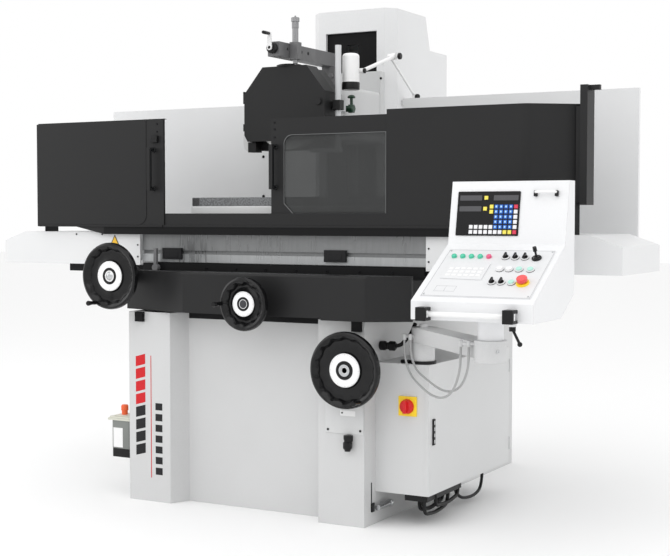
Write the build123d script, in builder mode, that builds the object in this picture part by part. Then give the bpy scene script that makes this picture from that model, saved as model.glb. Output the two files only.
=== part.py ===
from build123d import *
import math
import os

# Surface grinder with a travelling saddle, a reciprocating table and a fixed column.
# Millimetres. +Z up, +X to the operator's right, +Y towards the column.
# The origin is on the floor, in the base's underside.

os.makedirs("parts", exist_ok=True)

# ---- clearances and common sizes ----
RUN_FIT = 0.05            # radial gap of a shaft in its bore
SLIDE_GAP = 0.3           # gap between sliding neighbours that don't bear
SHEET = 3.0               # guard and trough sheet
SHAFT_R = 15.0            # handwheel shafts

# ---- base casting ----
BASE_LEFT, BASE_RIGHT = -592.0, 620.0
BASE_FRONT, BASE_BACK = -845.0, 830.0
RECESS_FRONT = -755.0     # face of the front recess between the two flanges
FLANGE_LEFT_W = 228.0     # front flange beside the left edge
FLANGE_RIGHT_W = 220.0
FLANGE_BEVEL = 41.0
BASE_TOP = 862.0
BASE_WALL = 50.0
RAIL_W, RAIL_H = 90.0, 28.0
RAIL_FRONT, RAIL_BACK = -630.0, 150.0
RAIL_X = (-380.0, 480.0)
RAIL_TOP = BASE_TOP + RAIL_H

# ---- saddle, table and chuck ----
SADDLE_MID = 85.0         # middle of the saddle, table and chuck along X
SADDLE_HALF = 725.0
SADDLE_FRONT, SADDLE_BACK = -780.0, -50.0
SADDLE_BOTTOM = BASE_TOP + 6.0
SADDLE_TOP = 1030.0
BED_HALF = 1192.0         # long bed that carries the troughs
BED_TOP = 1066.0
WAY_H = 15.0
TABLE_HALF = 736.0
TABLE_FRONT, TABLE_BACK = -660.0, -160.0
TABLE_BOTTOM = BED_TOP + WAY_H
TABLE_TOP = 1212.0
CHUCK_L, CHUCK_W = 1000.0, 400.0
CHUCK_BODY_TOP, CHUCK_TOP = 1340.0, 1380.0
WHEEL_Y = -400.0          # middle of the wheel's rim, over the middle of the chuck

# ---- troughs, back panels and front guard, carried by the saddle ----
TROUGH_FRONT, TROUGH_BACK = -680.0, -145.0
TROUGH_TOP = 1220.0
TROUGH_L = 832.0
TROUGH_DROP, TROUGH_SLOPE = 45.0, 130.0   # sloped outer end of each trough wall
PANEL_TOP, PANEL_BOTTOM = 1850.0, 1194.0
GUARD_Y = -700.0          # outer face of the fixed front sheet is one sheet in front
GUARD_LEFT, GUARD_RIGHT_FLAT, GUARD_RIGHT = -1245.0, 1262.0, 1440.0
GUARD_BOTTOM, GUARD_TOP = 1218.0, 1742.0
SILL_TOP = 1307.0
GUARD_GAP_LEFT, GUARD_GAP_RIGHT = -490.0, 649.0
GUARD_RETURN_Y = -560.0

# ---- column and grinding head ----
COLUMN_LEFT, COLUMN_RIGHT = -225.0, 238.0
COLUMN_FRONT, COLUMN_BACK = 185.0, 830.0
COLUMN_TOP, COLUMN_STEP = 2316.0, 2148.0
COLUMN_BEVEL = 49.0
SLOT_LEFT, SLOT_RIGHT = -137.0, 149.0
SLOT_BOTTOM, SLOT_TOP, SLOT_DEPTH = 1180.0, 2207.0, 260.0
SPINDLE_Z = 1777.0
HEAD_HALF = 190.0
HEAD_FRONT, HEAD_BOTTOM, HEAD_TOP = -270.0, 1650.0, 1900.0
CARRIAGE_TOP = 2003.0
SCREW_R = 25.0
SCREW_X, SCREW_Y = 6.0, 330.0
WHEEL_R, WHEEL_W = 177.5, 50.0
WHEEL_BORE_R = 63.5
SPINDLE_R = 45.0
HOOD_LEFT, HOOD_RIGHT = -218.0, 210.0
HOOD_FRONT, HOOD_BACK = -450.0, -355.0
HOOD_TOP, HOOD_SHOULDER, HOOD_BOTTOM = 1980.0, 1860.0, 1640.0
HOOD_FLAT = 118.0         # half length of the hood's flat top

# ---- electric cabinet and pendant ----
CAB_RIGHT = 866.0
CAB_FRONT, CAB_BACK = -745.0, 153.0
CAB_BOTTOM, CAB_TOP = 137.0, 683.0
DOOR_T = 20.0
POST_X, POST_Y, POST_R = 817.0, -692.0, 47.5
SWIVEL_X, SWIVEL_Y, SWIVEL_R = 1311.0, -1174.0, 48.0
ARM_BOTTOM, ARM_TOP, ARM_W = 775.0, 835.0, 100.0
PEND_LEFT, PEND_W = 1071.0, 469.0
PEND_FRONT, PEND_BACK = -1348.0, -915.0
PEND_BOTTOM, PEND_LIP, PEND_KNEE, PEND_TOP = 922.0, 990.0, 1189.0, 1428.0
KNEE_Y, HEAD_Y = -1018.0, -975.0
PEND_BELLY_Y, PEND_BELLY_Z = -1063.0, 1006.0
PANEL_T = 3.0
BUTTON_R, BEZEL_R = 11.0, 15.0
BUTTON_TRAVEL = 4.0


# ---- drawing helpers ----
def block(x, y, z, mode=Mode.ADD):
    """A box between two x, two y and two z."""
    size = [abs(b - a) for a, b in (x, y, z)]
    with Locations(((x[0] + x[1]) / 2, (y[0] + y[1]) / 2, (z[0] + z[1]) / 2)):
        Box(*size, mode=mode)


def rod(axis, centre, radius, span, mode=Mode.ADD):
    """A round bar along one axis, at the two other coordinates in centre."""
    mid, length = (span[0] + span[1]) / 2, abs(span[1] - span[0])
    a, b = centre
    place = {
        "x": ((mid, a, b), (0, 90, 0)),
        "y": ((a, mid, b), (90, 0, 0)),
        "z": ((a, b, mid), (0, 0, 0)),
    }[axis]
    with Locations(Location(*place)):
        Cylinder(radius, length, mode=mode)


def front_plane(y):
    """A plane facing the operator; its second direction is up."""
    return Plane.XZ.offset(-y)


def side_plane(x):
    """A plane facing right; its directions are back and up."""
    return Plane.YZ.offset(x)


def outline(points):
    """A closed straight-sided face in the open sketch."""
    with BuildLine() as edge:
        Polyline(*points, close=True)
    make_face(edge.edges())


def save(name, piece):
    piece.label = name
    export_step(piece, f"parts/{name}.step")


def aim(start, end):
    """A plane at start whose normal points to end."""
    way = Vector(*end) - Vector(*start)
    return Plane(origin=start, z_dir=way.normalized())


def strut(start, end, radius):
    """A round bar between two points."""
    length = (Vector(*end) - Vector(*start)).length
    with BuildSketch(aim(start, end)) as section:
        Circle(radius)
    extrude(section.sketch, amount=length)


# ---- base ----
def base_casting():
    left_in = BASE_LEFT + FLANGE_LEFT_W
    right_in = BASE_RIGHT - FLANGE_RIGHT_W
    with BuildPart() as base:
        with BuildSketch(Plane.XY):
            outline([
                (BASE_LEFT, BASE_FRONT), (left_in, BASE_FRONT),
                (left_in + FLANGE_BEVEL, RECESS_FRONT), (right_in - FLANGE_BEVEL, RECESS_FRONT),
                (right_in, BASE_FRONT), (BASE_RIGHT, BASE_FRONT),
                (BASE_RIGHT, BASE_BACK), (BASE_LEFT, BASE_BACK),
            ])
        extrude(amount=BASE_TOP)
        block((BASE_LEFT + BASE_WALL, BASE_RIGHT - BASE_WALL),
              (RECESS_FRONT + BASE_WALL, BASE_BACK - BASE_WALL),
              (BASE_WALL, BASE_TOP - BASE_WALL), Mode.SUBTRACT)
        for x in RAIL_X:
            block((x - RAIL_W / 2, x + RAIL_W / 2), (RAIL_FRONT, RAIL_BACK), (BASE_TOP, RAIL_TOP))
        rod("y", (ELEV_X, ELEV_Z), BOSS_R, (BASE_FRONT - BOSS_OUT, BASE_FRONT))
        rod("y", (ELEV_X, ELEV_Z), SHAFT_R + RUN_FIT,
            (BASE_FRONT - BOSS_OUT, BASE_FRONT + SHAFT_SEAT + SLIDE_GAP), Mode.SUBTRACT)
    save("base_casting", base.part)


BOSS_R, BOSS_OUT, SHAFT_SEAT = 42.0, 32.0, 45.0
COVER_X, COVER_T = (436.0, 617.0), 4.0
COVER_BOTTOM, COVER_H = 388.0, 172.0
COVER_GLAND_X = 552.0


def base_cover_plate():
    with BuildPart() as cover:
        block(COVER_X, (BASE_FRONT - COVER_T, BASE_FRONT),
              (COVER_BOTTOM, COVER_BOTTOM + COVER_H))
        fillet(cover.edges().filter_by(Axis.Y), 3)
        rod("y", (COVER_GLAND_X, COVER_BOTTOM - 28), 17, (BASE_FRONT - 37, BASE_FRONT))
        rod("z", (COVER_GLAND_X, BASE_FRONT - 20), 13, (COVER_BOTTOM - 70, COVER_BOTTOM - 28))
    save("base_cover_plate", cover.part)


SKIRT_H, SKIRT_T = 28.0, 3.0
END_BLOCK_W, END_BLOCK_H, END_BLOCK_T = 43.0, 44.0, 17.0
END_BLOCK_X = (-525.0, 588.0)


def front_skirt():
    inset = FLANGE_BEVEL + 3
    with BuildPart() as skirt:
        block((BASE_LEFT + FLANGE_LEFT_W + inset, BASE_RIGHT - FLANGE_RIGHT_W - inset),
              (RECESS_FRONT - SKIRT_T, RECESS_FRONT), (BASE_TOP - SKIRT_H, BASE_TOP))
        for x in END_BLOCK_X:
            block((x - END_BLOCK_W / 2, x + END_BLOCK_W / 2),
                  (BASE_FRONT - END_BLOCK_T, BASE_FRONT), (BASE_TOP - END_BLOCK_H, BASE_TOP))
    save("front_skirt", skirt.part)


LUB_W, LUB_D = 112.0, 110.0
LUB_BACK_Y = -720.0
LUB_BOTTOM, LUB_TOP = 182.0, 352.0


def lubricator():
    right = BASE_LEFT - 8
    x, y = (right - LUB_W, right), (LUB_BACK_Y - LUB_D, LUB_BACK_Y)
    with BuildPart() as tank:
        block(x, y, (LUB_BOTTOM, LUB_TOP))
        fillet(tank.edges().filter_by(Axis.Z), 12)
        block((x[0] - 22, x[1] + 2), (y[0] - 4, y[1] + 4), (LUB_TOP, LUB_TOP + 22))
        rod("z", (x[0] + 42, y[0] + 50), 17, (LUB_TOP + 22, LUB_TOP + 68))
        block((right, BASE_LEFT), (y[0] + 20, y[1] - 20), (LUB_BOTTOM + 40, LUB_TOP - 30))
        block((BASE_LEFT - 72, BASE_LEFT), (y[1] - 24, y[1] - 20), (LUB_TOP - 10, LUB_TOP + 182))
    save("lubricator", tank.part)


# ---- electric cabinet ----
HINGE_R = 7.0
TRAY_W, TRAY_H = 110.0, 26.0


def cabinet_shell():
    mouth = CAB_RIGHT - DOOR_T - SLIDE_GAP
    with BuildPart() as shell:
        block((BASE_RIGHT, mouth), (CAB_FRONT, CAB_BACK), (CAB_BOTTOM, CAB_TOP))
        block((BASE_RIGHT + SHEET, mouth), (CAB_FRONT + SHEET, CAB_BACK - SHEET),
              (CAB_BOTTOM + SHEET, CAB_TOP - SHEET), Mode.SUBTRACT)
        block((BASE_RIGHT + 20, BASE_RIGHT + 20 + TRAY_W), (CAB_FRONT + 240, CAB_BACK - 260),
              (CAB_BOTTOM - TRAY_H, CAB_BOTTOM))
        x, z = ISO_X, ISO_Z
        block((x - ISO_SIDE / 2, x + ISO_SIDE / 2), (CAB_FRONT - ISO_T, CAB_FRONT),
              (z - ISO_SIDE / 2, z + ISO_SIDE / 2))
        rod("y", (x, z), ISO_SPINDLE_R + RUN_FIT, (CAB_FRONT - ISO_T, CAB_FRONT + SHEET), Mode.SUBTRACT)
    save("cabinet_shell", shell.part)


ISO_X, ISO_Z, ISO_SIDE, ISO_T, ISO_SPINDLE_R = 772.0, 508.0, 80.0, 8.0, 5.0


def isolator_knob():
    face = CAB_FRONT - ISO_T
    with BuildPart() as knob:
        rod("y", (ISO_X, ISO_Z), 29, (face - 16, face - SLIDE_GAP))
        block((ISO_X - 8, ISO_X + 8), (face - 32, face - 16), (ISO_Z - 27, ISO_Z + 27))
        rod("y", (ISO_X, ISO_Z), ISO_SPINDLE_R, (face - SLIDE_GAP, CAB_FRONT + SHEET + 12))
    save("isolator_knob", knob.part)


def cabinet_backplate():
    x0 = BASE_RIGHT + SHEET
    plate_t = 3.0
    with BuildPart() as plate:
        block((x0, x0 + plate_t), (CAB_FRONT + 40, CAB_BACK - 40), (CAB_BOTTOM + 30, CAB_TOP - 30))
        face = x0 + plate_t
        for row, (height, depth) in enumerate(((150, 90), (90, 70), (110, 110))):
            z0 = CAB_BOTTOM + 50 + row * 160
            for step in range(4):
                y0 = CAB_FRONT + 90 + step * 180
                block((face, face + depth), (y0, y0 + 130), (z0, z0 + height * 0.8))
    save("cabinet_backplate", plate.part)


def cabinet_door():
    x0 = CAB_RIGHT - DOOR_T
    with BuildPart() as door:
        block((x0, CAB_RIGHT), (CAB_FRONT, CAB_BACK), (CAB_BOTTOM, CAB_TOP))
        block((x0, CAB_RIGHT - SHEET), (CAB_FRONT + SHEET, CAB_BACK - SHEET),
              (CAB_BOTTOM + SHEET, CAB_TOP - SHEET), Mode.SUBTRACT)
        latch_y = CAB_FRONT + 45
        block((CAB_RIGHT, CAB_RIGHT + 6), (latch_y - 9, latch_y + 9), (347, 455))
        for z in (CAB_BOTTOM + 90, CAB_TOP - 90):
            rod("z", (CAB_RIGHT, CAB_BACK + HINGE_R), HINGE_R, (z - 30, z + 30))
    save("cabinet_door", door.part)


# ---- hoses and cords: straight runs joined by tangent arcs ----
def route(name, points, radius, share=0.45):
    """A tube on a polyline whose corners are rounded as far as the runs allow."""
    spots = [Vector(*p) for p in points]
    runs = [b - a for a, b in zip(spots, spots[1:])]
    radii = []
    for before, after in zip(runs, runs[1:]):
        half_turn = math.radians(before.get_angle(after)) / 2
        radii.append(share * min(before.length, after.length) / math.tan(half_turn))
    print(name, "radii", [round(r) for r in radii], "lengths", [round(r.length) for r in runs])
    with BuildPart() as tube:
        with BuildLine() as path:
            FilletPolyline(*spots, radius=radii)
        print(name, "length", round(sum(e.length for e in path.edges()), 1))
        with BuildSketch(aim(points[0], points[1])):
            Circle(radius)
        sweep()
    save(name, tube.part)


HOSE_R = 7.0
HOSE_POINTS = [
    (800, -330, 137), (800, -330, 100), (803, -312, 66), (808, -276, 42), (813, -226, 32),
    (816, -168, 29), (815, -112, 33), (810, -62, 42), (803, -26, 66), (799, -8, 100), (799, -8, 137),
]
CORD_R = 4.5
CORD_A_POINTS = [
    (1230, -1185, 815), (1230, -1185, 779), (1225, -1179, 738), (1207, -1162, 696), (1177, -1133, 660),
    (1135, -1093, 636), (1086, -1047, 624), (1036, -998, 622), (986, -948, 628), (940, -901, 638),
    (895, -856, 648), (853, -815, 660), (820, -781, 678), (795, -757, 706), (782, -745, 744),
    (782, -745, 784),
]
CORD_B_POINTS = [
    (1199, -1188, 815), (1199, -1188, 777), (1194, -1182, 732), (1176, -1166, 684), (1146, -1136, 642),
    (1105, -1096, 612), (1055, -1049, 597), (1005, -1001, 595), (956, -953, 602), (909, -907, 614),
    (864, -861, 628), (826, -821, 642), (794, -787, 664), (770, -763, 698), (755, -747, 738),
    (755, -747, 784),
]


# ---- handwheels ----
ELEV_X, ELEV_Y, ELEV_Z, ELEV_R = 576.0, -925.0, 665.0, 160.0
CROSS_X, CROSS_Y, CROSS_Z, CROSS_R = 125.0, -985.0, 926.0, 115.0
LONG_X, LONG_Y, LONG_Z, LONG_R = -600.0, -960.0, 1027.0, 150.0
GRIP_R, GRIP_L = 12.0, 62.0


def handwheel(name, centre, radius, dial_r, grip_deg, shaft_end):
    """A dished wheel with a dial hub, a turning grip on its rim and its shaft."""
    x, y, z = centre
    with BuildPart() as wheel:
        with BuildSketch(Plane(origin=centre, x_dir=(1, 0, 0), z_dir=(0, 0, 1))):
            outline([
                (0, -24), (dial_r * 0.4, -24), (dial_r * 0.5, -14), (dial_r, -12), (dial_r + 6, -2),
                (radius - 36, 4), (radius - 24, -20), (radius - 12, -26), (radius, -16),
                (radius, 0), (radius - 10, 10), (dial_r, 20), (SHAFT_R + 14, 22), (SHAFT_R + 14, 38),
                (0, 38),
            ])
        revolve(axis=Axis(centre, (0, 1, 0)))
        turn = math.radians(grip_deg)
        gx, gz = x + (radius - 14) * math.cos(turn), z + (radius - 14) * math.sin(turn)
        rod("y", (gx, gz), GRIP_R, (y - 28 - GRIP_L, y - 28))
        rod("y", (gx, gz), 6, (y - 28, y))
        rod("y", (x, z), SHAFT_R, (y + 38, shaft_end))
    save(name, wheel.part)


# ---- saddle ----
APRON_TOP, APRON_BOTTOM, APRON_WALL = 1049.0, 870.0, 10.0
APRON_FRONT = -900.0
APRON_ENDS = (-640.0, 810.0)
APRON_FLAT = (-255.0, 650.0)
APRON_END_Y = -795.0
APRON_STEP_X, APRON_STEP_Z = 444.0, 863.0
LIP_FRONT = -672.0


def saddle_casting():
    left, right = SADDLE_MID - SADDLE_HALF, SADDLE_MID + SADDLE_HALF
    with BuildPart() as saddle:
        block((left, right), (SADDLE_FRONT, SADDLE_BACK), (SADDLE_BOTTOM, SADDLE_TOP))
        for x in RAIL_X:
            side = RAIL_W / 2 + SLIDE_GAP
            block((x - side, x + side), (SADDLE_FRONT, SADDLE_BACK), (SADDLE_BOTTOM, RAIL_TOP), Mode.SUBTRACT)
        block((SADDLE_MID - BED_HALF, SADDLE_MID + BED_HALF), (-640, -190), (SADDLE_TOP, BED_TOP))
        block((left, right), (LIP_FRONT, -640), (SADDLE_TOP, TABLE_BOTTOM - 3))
        for y in (-570, -230):
            block((left + 20, right - 20), (y - 30, y + 30), (BED_TOP, TABLE_BOTTOM))
        rod("y", (CROSS_X, CROSS_Z), SHAFT_R + RUN_FIT,
            (SADDLE_FRONT, SADDLE_FRONT + SHAFT_SEAT + SLIDE_GAP), Mode.SUBTRACT)
        rod("y", (LEVER_X, LEVER_Z), LEVER_PIN_R + RUN_FIT, (LIP_FRONT, -642), Mode.SUBTRACT)
    save("saddle_casting", saddle.part)


def apron_plan(inset):
    """The apron's plan, drawn in by a wall's thickness."""
    left, right = APRON_ENDS
    a, b = APRON_FLAT
    front, end = APRON_FRONT + inset, APRON_END_Y + inset
    outline([(left + inset, SADDLE_FRONT), (left + inset, end), (a, front), (b, front),
             (right - inset, end), (right - inset, SADDLE_FRONT)])


def apron():
    with BuildPart() as cover:
        with BuildSketch(Plane.XY.offset(APRON_STEP_Z)):
            apron_plan(0)
        extrude(amount=APRON_TOP - APRON_STEP_Z)
        top = cover.faces().sort_by(Axis.Z)[-1].edges().sort_by(Axis.Y)[0]
        chamfer(top, 8)
        with BuildSketch(Plane.XY.offset(APRON_STEP_Z)):
            apron_plan(APRON_WALL)
        extrude(amount=APRON_TOP - APRON_WALL - APRON_STEP_Z, mode=Mode.SUBTRACT)
        block((APRON_ENDS[0] - 1, APRON_STEP_X), (APRON_FRONT - 1, SADDLE_FRONT + 1),
              (APRON_STEP_Z - 1, APRON_BOTTOM), Mode.SUBTRACT)
        rod("y", (CROSS_X, CROSS_Z), 38, (CROSS_Y + 45, APRON_FRONT + APRON_WALL))
        rod("y", (CROSS_X, CROSS_Z), SHAFT_R + RUN_FIT, (CROSS_Y, APRON_FRONT + APRON_WALL), Mode.SUBTRACT)
        rod("y", (LONG_X, LONG_Z), 36, (LONG_Y + 45, SADDLE_FRONT))
        rod("y", (LONG_X, LONG_Z), SHAFT_R + RUN_FIT, (LONG_Y, SADDLE_FRONT - 20), Mode.SUBTRACT)
    save("apron", cover.part)


LEVER_X, LEVER_Z, LEVER_PIN_R = -556.0, 1056.0, 7.0


def reversing_lever():
    with BuildPart() as lever:
        rod("y", (LEVER_X, LEVER_Z), 16, (-696, LIP_FRONT - SLIDE_GAP))
        block((LEVER_X - 8, LEVER_X + 8), (-694, -680), (LEVER_Z, LEVER_Z + 90))
        rod("y", (LEVER_X, LEVER_Z), LEVER_PIN_R, (LIP_FRONT - SLIDE_GAP, -644))
    save("reversing_lever", lever.part)


def hydraulic_cylinder():
    half = 550.0
    y, z = -415.0, 1116.0
    with BuildPart() as ram:
        rod("x", (y, z), 32, (SADDLE_MID - half, SADDLE_MID + half))
        for side in (-1, 1):
            x = SADDLE_MID + side * (half - 40)
            rod("x", (y, z), 36, (x - 24, x + 24))
            block((x - 24, x + 24), (y - 24, y + 24), (BED_TOP, z))
    save("hydraulic_cylinder", ram.part)


SLOT_Z, SLOT_H, SLOT_D = 1121.0, 15.0, 12.0
DOG_X = (-445.0, 385.0)


def table_casting():
    left, right = SADDLE_MID - TABLE_HALF, SADDLE_MID + TABLE_HALF
    with BuildPart() as table:
        block((left, right), (TABLE_FRONT, TABLE_BACK), (TABLE_BOTTOM, TABLE_TOP))
        block((left, right), (-480, -350), (TABLE_BOTTOM, 1162), Mode.SUBTRACT)
        block((left, right), (TABLE_FRONT, TABLE_FRONT + SLOT_D), (SLOT_Z, SLOT_Z + SLOT_H), Mode.SUBTRACT)
        for x in DOG_X:
            block((x - 22, x + 22), (TABLE_FRONT - 14, TABLE_FRONT), (SLOT_Z - 16, SLOT_Z + 26))
    save("table_casting", table.part)


def chuck():
    half = CHUCK_L / 2
    x = (SADDLE_MID - half, SADDLE_MID + half)
    y = (WHEEL_Y - CHUCK_W / 2, WHEEL_Y + CHUCK_W / 2)
    with BuildPart() as body:
        block(x, y, (TABLE_TOP, CHUCK_BODY_TOP))
        chamfer(body.faces().sort_by(Axis.Z)[-1].edges(), 4)
    save("chuck_body", body.part)
    with BuildPart() as plate:
        block((x[0] + 4, x[1] - 4), (y[0] + 4, y[1] - 4), (CHUCK_BODY_TOP, CHUCK_TOP))
    save("chuck_plate", plate.part)


LID_L = 300.0             # flat part of the sheet that covers each trough's outer end


def table_troughs():
    with BuildPart() as troughs:
        for side in (-1, 1):
            near = SADDLE_MID + side * TABLE_HALF
            far = near + side * TROUGH_L
            wall = [(near, BED_TOP), (far, BED_TOP), (far, TROUGH_TOP - TROUGH_DROP),
                    (far - side * TROUGH_SLOPE, TROUGH_TOP), (near, TROUGH_TOP)]
            for y in (TROUGH_FRONT + SHEET, TROUGH_BACK):
                with BuildSketch(front_plane(y)):
                    outline(wall)
                extrude(amount=SHEET)
            block((near, far), (TROUGH_FRONT, TROUGH_BACK), (BED_TOP, BED_TOP + SHEET))
            block((far - side * SHEET, far), (TROUGH_FRONT, TROUGH_BACK), (BED_TOP, TROUGH_TOP - TROUGH_DROP))
            lid = [(far - side * (TROUGH_SLOPE + LID_L), TROUGH_TOP), (far - side * TROUGH_SLOPE, TROUGH_TOP),
                   (far, TROUGH_TOP - TROUGH_DROP), (far, TROUGH_TOP - TROUGH_DROP - SHEET),
                   (far - side * TROUGH_SLOPE, TROUGH_TOP - SHEET),
                   (far - side * (TROUGH_SLOPE + LID_L), TROUGH_TOP - SHEET)]
            with BuildSketch(front_plane(TROUGH_BACK)):
                outline(lid)
            extrude(amount=TROUGH_BACK - TROUGH_FRONT)
    save("table_troughs", troughs.part)


PANEL_SPANS = ((-1335.0, -345.0), (384.0, 1515.0))


def back_panels():
    with BuildPart() as panels:
        for x in PANEL_SPANS:
            block(x, (0, SHEET), (PANEL_BOTTOM, PANEL_TOP))
            block(x, (0, 22), (PANEL_TOP - SHEET, PANEL_TOP))
            foot_x = (max(x[0], SADDLE_MID - TABLE_HALF - TROUGH_L),
                      min(x[1], SADDLE_MID + TABLE_HALF + TROUGH_L))
            block(foot_x, (TROUGH_BACK, 0), (PANEL_BOTTOM, PANEL_BOTTOM + SHEET))
            for edge in x:
                block((edge - 1.5, edge + 1.5), (0, 22), (PANEL_BOTTOM, PANEL_TOP))
    save("back_panels", panels.part)


POST_BAR = (1452.0, 1482.0)
GUARD_CORNER_R = 60.0
LIP_DROP = 8.0

# the lower left corner of the guard is cut away over the trough
CUT_FROM, CUT_TO = -1010.0, -850.0


def guard_frame():
    face = GUARD_Y
    with BuildPart() as guard:
        with BuildSketch(Plane.XY.offset(GUARD_BOTTOM)):
            with BuildLine():
                FilletPolyline((GUARD_LEFT, GUARD_RETURN_Y), (GUARD_LEFT, face), (GUARD_RIGHT_FLAT, face),
                               (GUARD_RIGHT, GUARD_RETURN_Y), radius=[6, GUARD_CORNER_R])
                offset(amount=SHEET, side=Side.RIGHT)
            make_face()
        extrude(amount=GUARD_TOP - GUARD_BOTTOM)
        block((GUARD_GAP_LEFT, GUARD_GAP_RIGHT), (face - 20, face + 20), (SILL_TOP, GUARD_TOP + 1),
              Mode.SUBTRACT)
        block((GUARD_LEFT + 10, GUARD_RIGHT_FLAT - 10), (face, TROUGH_FRONT),
              (GUARD_BOTTOM - LIP_DROP, GUARD_BOTTOM + SHEET))
        block((GUARD_LEFT + 12, GUARD_GAP_LEFT - 2), (face, face + 16), (GUARD_TOP - SHEET, GUARD_TOP))
        block((GUARD_GAP_RIGHT + 2, GUARD_RIGHT_FLAT - 10), (face, face + 16),
              (GUARD_TOP - SHEET, GUARD_TOP))
        block(POST_BAR, (GUARD_RETURN_Y - 40, GUARD_RETURN_Y + 50), (1340, 1815))
        block((POST_BAR[0] - 22, POST_BAR[0]), (GUARD_RETURN_Y - 22, GUARD_RETURN_Y + 14),
              (1350, GUARD_TOP - 10))
        block((POST_BAR[1], POST_BAR[1] + 40), (GUARD_RETURN_Y - 10, GUARD_RETURN_Y + 10), (1795, 1815))
        block((GUARD_LEFT, GUARD_GAP_LEFT - 10), (face - SHEET - RAIL_OUT, face - SHEET),
              (DOOR_BOTTOM - 8, DOOR_BOTTOM))
        block((GUARD_GAP_LEFT - 10, GUARD_RIGHT_FLAT - 40), (face - SHEET - 5, face - SHEET),
              (DOOR_BOTTOM - 8, DOOR_BOTTOM))
        block((RIGHT_DOOR[0] - 20, GUARD_RIGHT_FLAT - 40), (face, face + INNER_RAIL),
              (INNER_BOTTOM - 8, INNER_BOTTOM))
        block((GUARD_LEFT - 2 * SHEET, GUARD_RIGHT + 1), (TROUGH_FRONT - 1, TROUGH_FRONT + 200),
              (GUARD_BOTTOM, TROUGH_TOP), Mode.SUBTRACT)
        with BuildSketch(front_plane(face + 45)):
            outline([(GUARD_LEFT - 5, GUARD_BOTTOM - 20), (CUT_TO, GUARD_BOTTOM - 20), (CUT_TO, GUARD_BOTTOM - 8),
                     (CUT_FROM, DOOR_BOTTOM - 9), (GUARD_LEFT - 5, DOOR_BOTTOM - 9)])
        extrude(amount=70, mode=Mode.SUBTRACT)
    save("guard_frame", guard.part)


DOOR_BOTTOM = 1253.0
RAIL_OUT = 9.0
INNER_BOTTOM, INNER_RAIL = 1262.0, 12.0
LEFT_DOOR = (-1247.0, -492.0)
RIGHT_DOOR = (79.0, 649.0)
DOOR_TOP, RIGHT_DOOR_TOP = 1738.0, 1722.0
LEFT_DOOR_Y, LEFT_DOOR_T = -704.0, 5.0
RIGHT_DOOR_Y, RIGHT_DOOR_T = -690.0, 6.0
GLASS = (145.0, 643.0, 1304.0, 1649.0)
GLASS_R, GLASS_CUT = 40.0, 46.0
HANDLE_Z = (1412.0, 1608.0)
HANDLE_OUT = 44.0


def pull_handle(x, face):
    """A U-shaped pull: two feet and a grip, standing in front of a face."""
    z0, z1 = HANDLE_Z
    block((x - 9, x + 9), (face - HANDLE_OUT, face - HANDLE_OUT + 16), (z0, z1))
    for z in (z0, z1 - 18):
        block((x - 9, x + 9), (face - HANDLE_OUT, face), (z, z + 18))


def left_door():
    x0, x1 = LEFT_DOOR
    back = LEFT_DOOR_Y
    with BuildPart() as door:
        block((x0, x1), (back - LEFT_DOOR_T, back), (DOOR_BOTTOM, DOOR_TOP))
        fillet(door.edges().filter_by(Axis.Z), 2)
        pull_handle(x1 - 56, back - LEFT_DOOR_T)
    save("left_door", door.part)


def glass_outline(grow=0.0):
    x0, x1, z0, z1 = GLASS
    with BuildLine() as edge:
        Polyline((x0 - grow + GLASS_CUT, z0 - grow), (x1 + grow, z0 - grow), (x1 + grow, z1 + grow),
                 (x0 - grow + GLASS_R, z1 + grow))
        RadiusArc((x0 - grow + GLASS_R, z1 + grow), (x0 - grow, z1 + grow - GLASS_R), -GLASS_R)
        Polyline((x0 - grow, z1 + grow - GLASS_R), (x0 - grow, z0 - grow + GLASS_CUT),
                 (x0 - grow + GLASS_CUT, z0 - grow))
    make_face(edge.edges())


def right_door():
    x0, x1 = RIGHT_DOOR
    back = RIGHT_DOOR_Y
    with BuildPart() as door:
        block((x0, x1 + 40), (back - RIGHT_DOOR_T, back), (INNER_BOTTOM, RIGHT_DOOR_TOP))
        with BuildSketch(front_plane(back)):
            glass_outline()
        extrude(amount=RIGHT_DOOR_T, mode=Mode.SUBTRACT)
        pull_handle(x0 + 23, back - RIGHT_DOOR_T)
    save("right_door", door.part)
    with BuildPart() as pane:
        with BuildSketch(front_plane(back + 4)):
            glass_outline(8)
        extrude(amount=4)
    save("door_glass", pane.part)


# ---- column ----
WAY_COVER_T = 4.0
NUT_SLIT = (-26.0, 38.0)


def column_casting():
    with BuildPart() as column:
        with BuildSketch(side_plane(COLUMN_LEFT)):
            outline([(COLUMN_FRONT, BASE_TOP), (COLUMN_FRONT, COLUMN_TOP), (562, COLUMN_TOP),
                     (617, COLUMN_STEP), (COLUMN_BACK, COLUMN_STEP), (COLUMN_BACK, BASE_TOP)])
        extrude(amount=COLUMN_RIGHT - COLUMN_LEFT)
        front_edges = column.edges().filter_by(Axis.Z).group_by(Axis.Y)[0]
        chamfer(front_edges, COLUMN_BEVEL)
        block((SLOT_LEFT, SLOT_RIGHT), (COLUMN_FRONT, COLUMN_FRONT + SLOT_DEPTH), (SLOT_BOTTOM, SLOT_TOP),
              Mode.SUBTRACT)
        block((-180, 192), (490, 780), (BASE_TOP + 40, COLUMN_STEP - 40), Mode.SUBTRACT)
        rod("z", (SCREW_X, SCREW_Y), SCREW_R + RUN_FIT,
            (SLOT_BOTTOM - 25 - SLIDE_GAP, SLOT_TOP + 25 + SLIDE_GAP), Mode.SUBTRACT)
    save("column_casting", column.part)


def column_way_cover():
    y = COLUMN_FRONT + 16
    with BuildPart() as cover:
        block((SLOT_LEFT, SLOT_RIGHT), (y, y + WAY_COVER_T), (SLOT_BOTTOM, SLOT_TOP))
        block(NUT_SLIT, (y, y + WAY_COVER_T), (SLOT_BOTTOM + 60, SLOT_TOP - 60), Mode.SUBTRACT)
    save("column_way_cover", cover.part)


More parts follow.
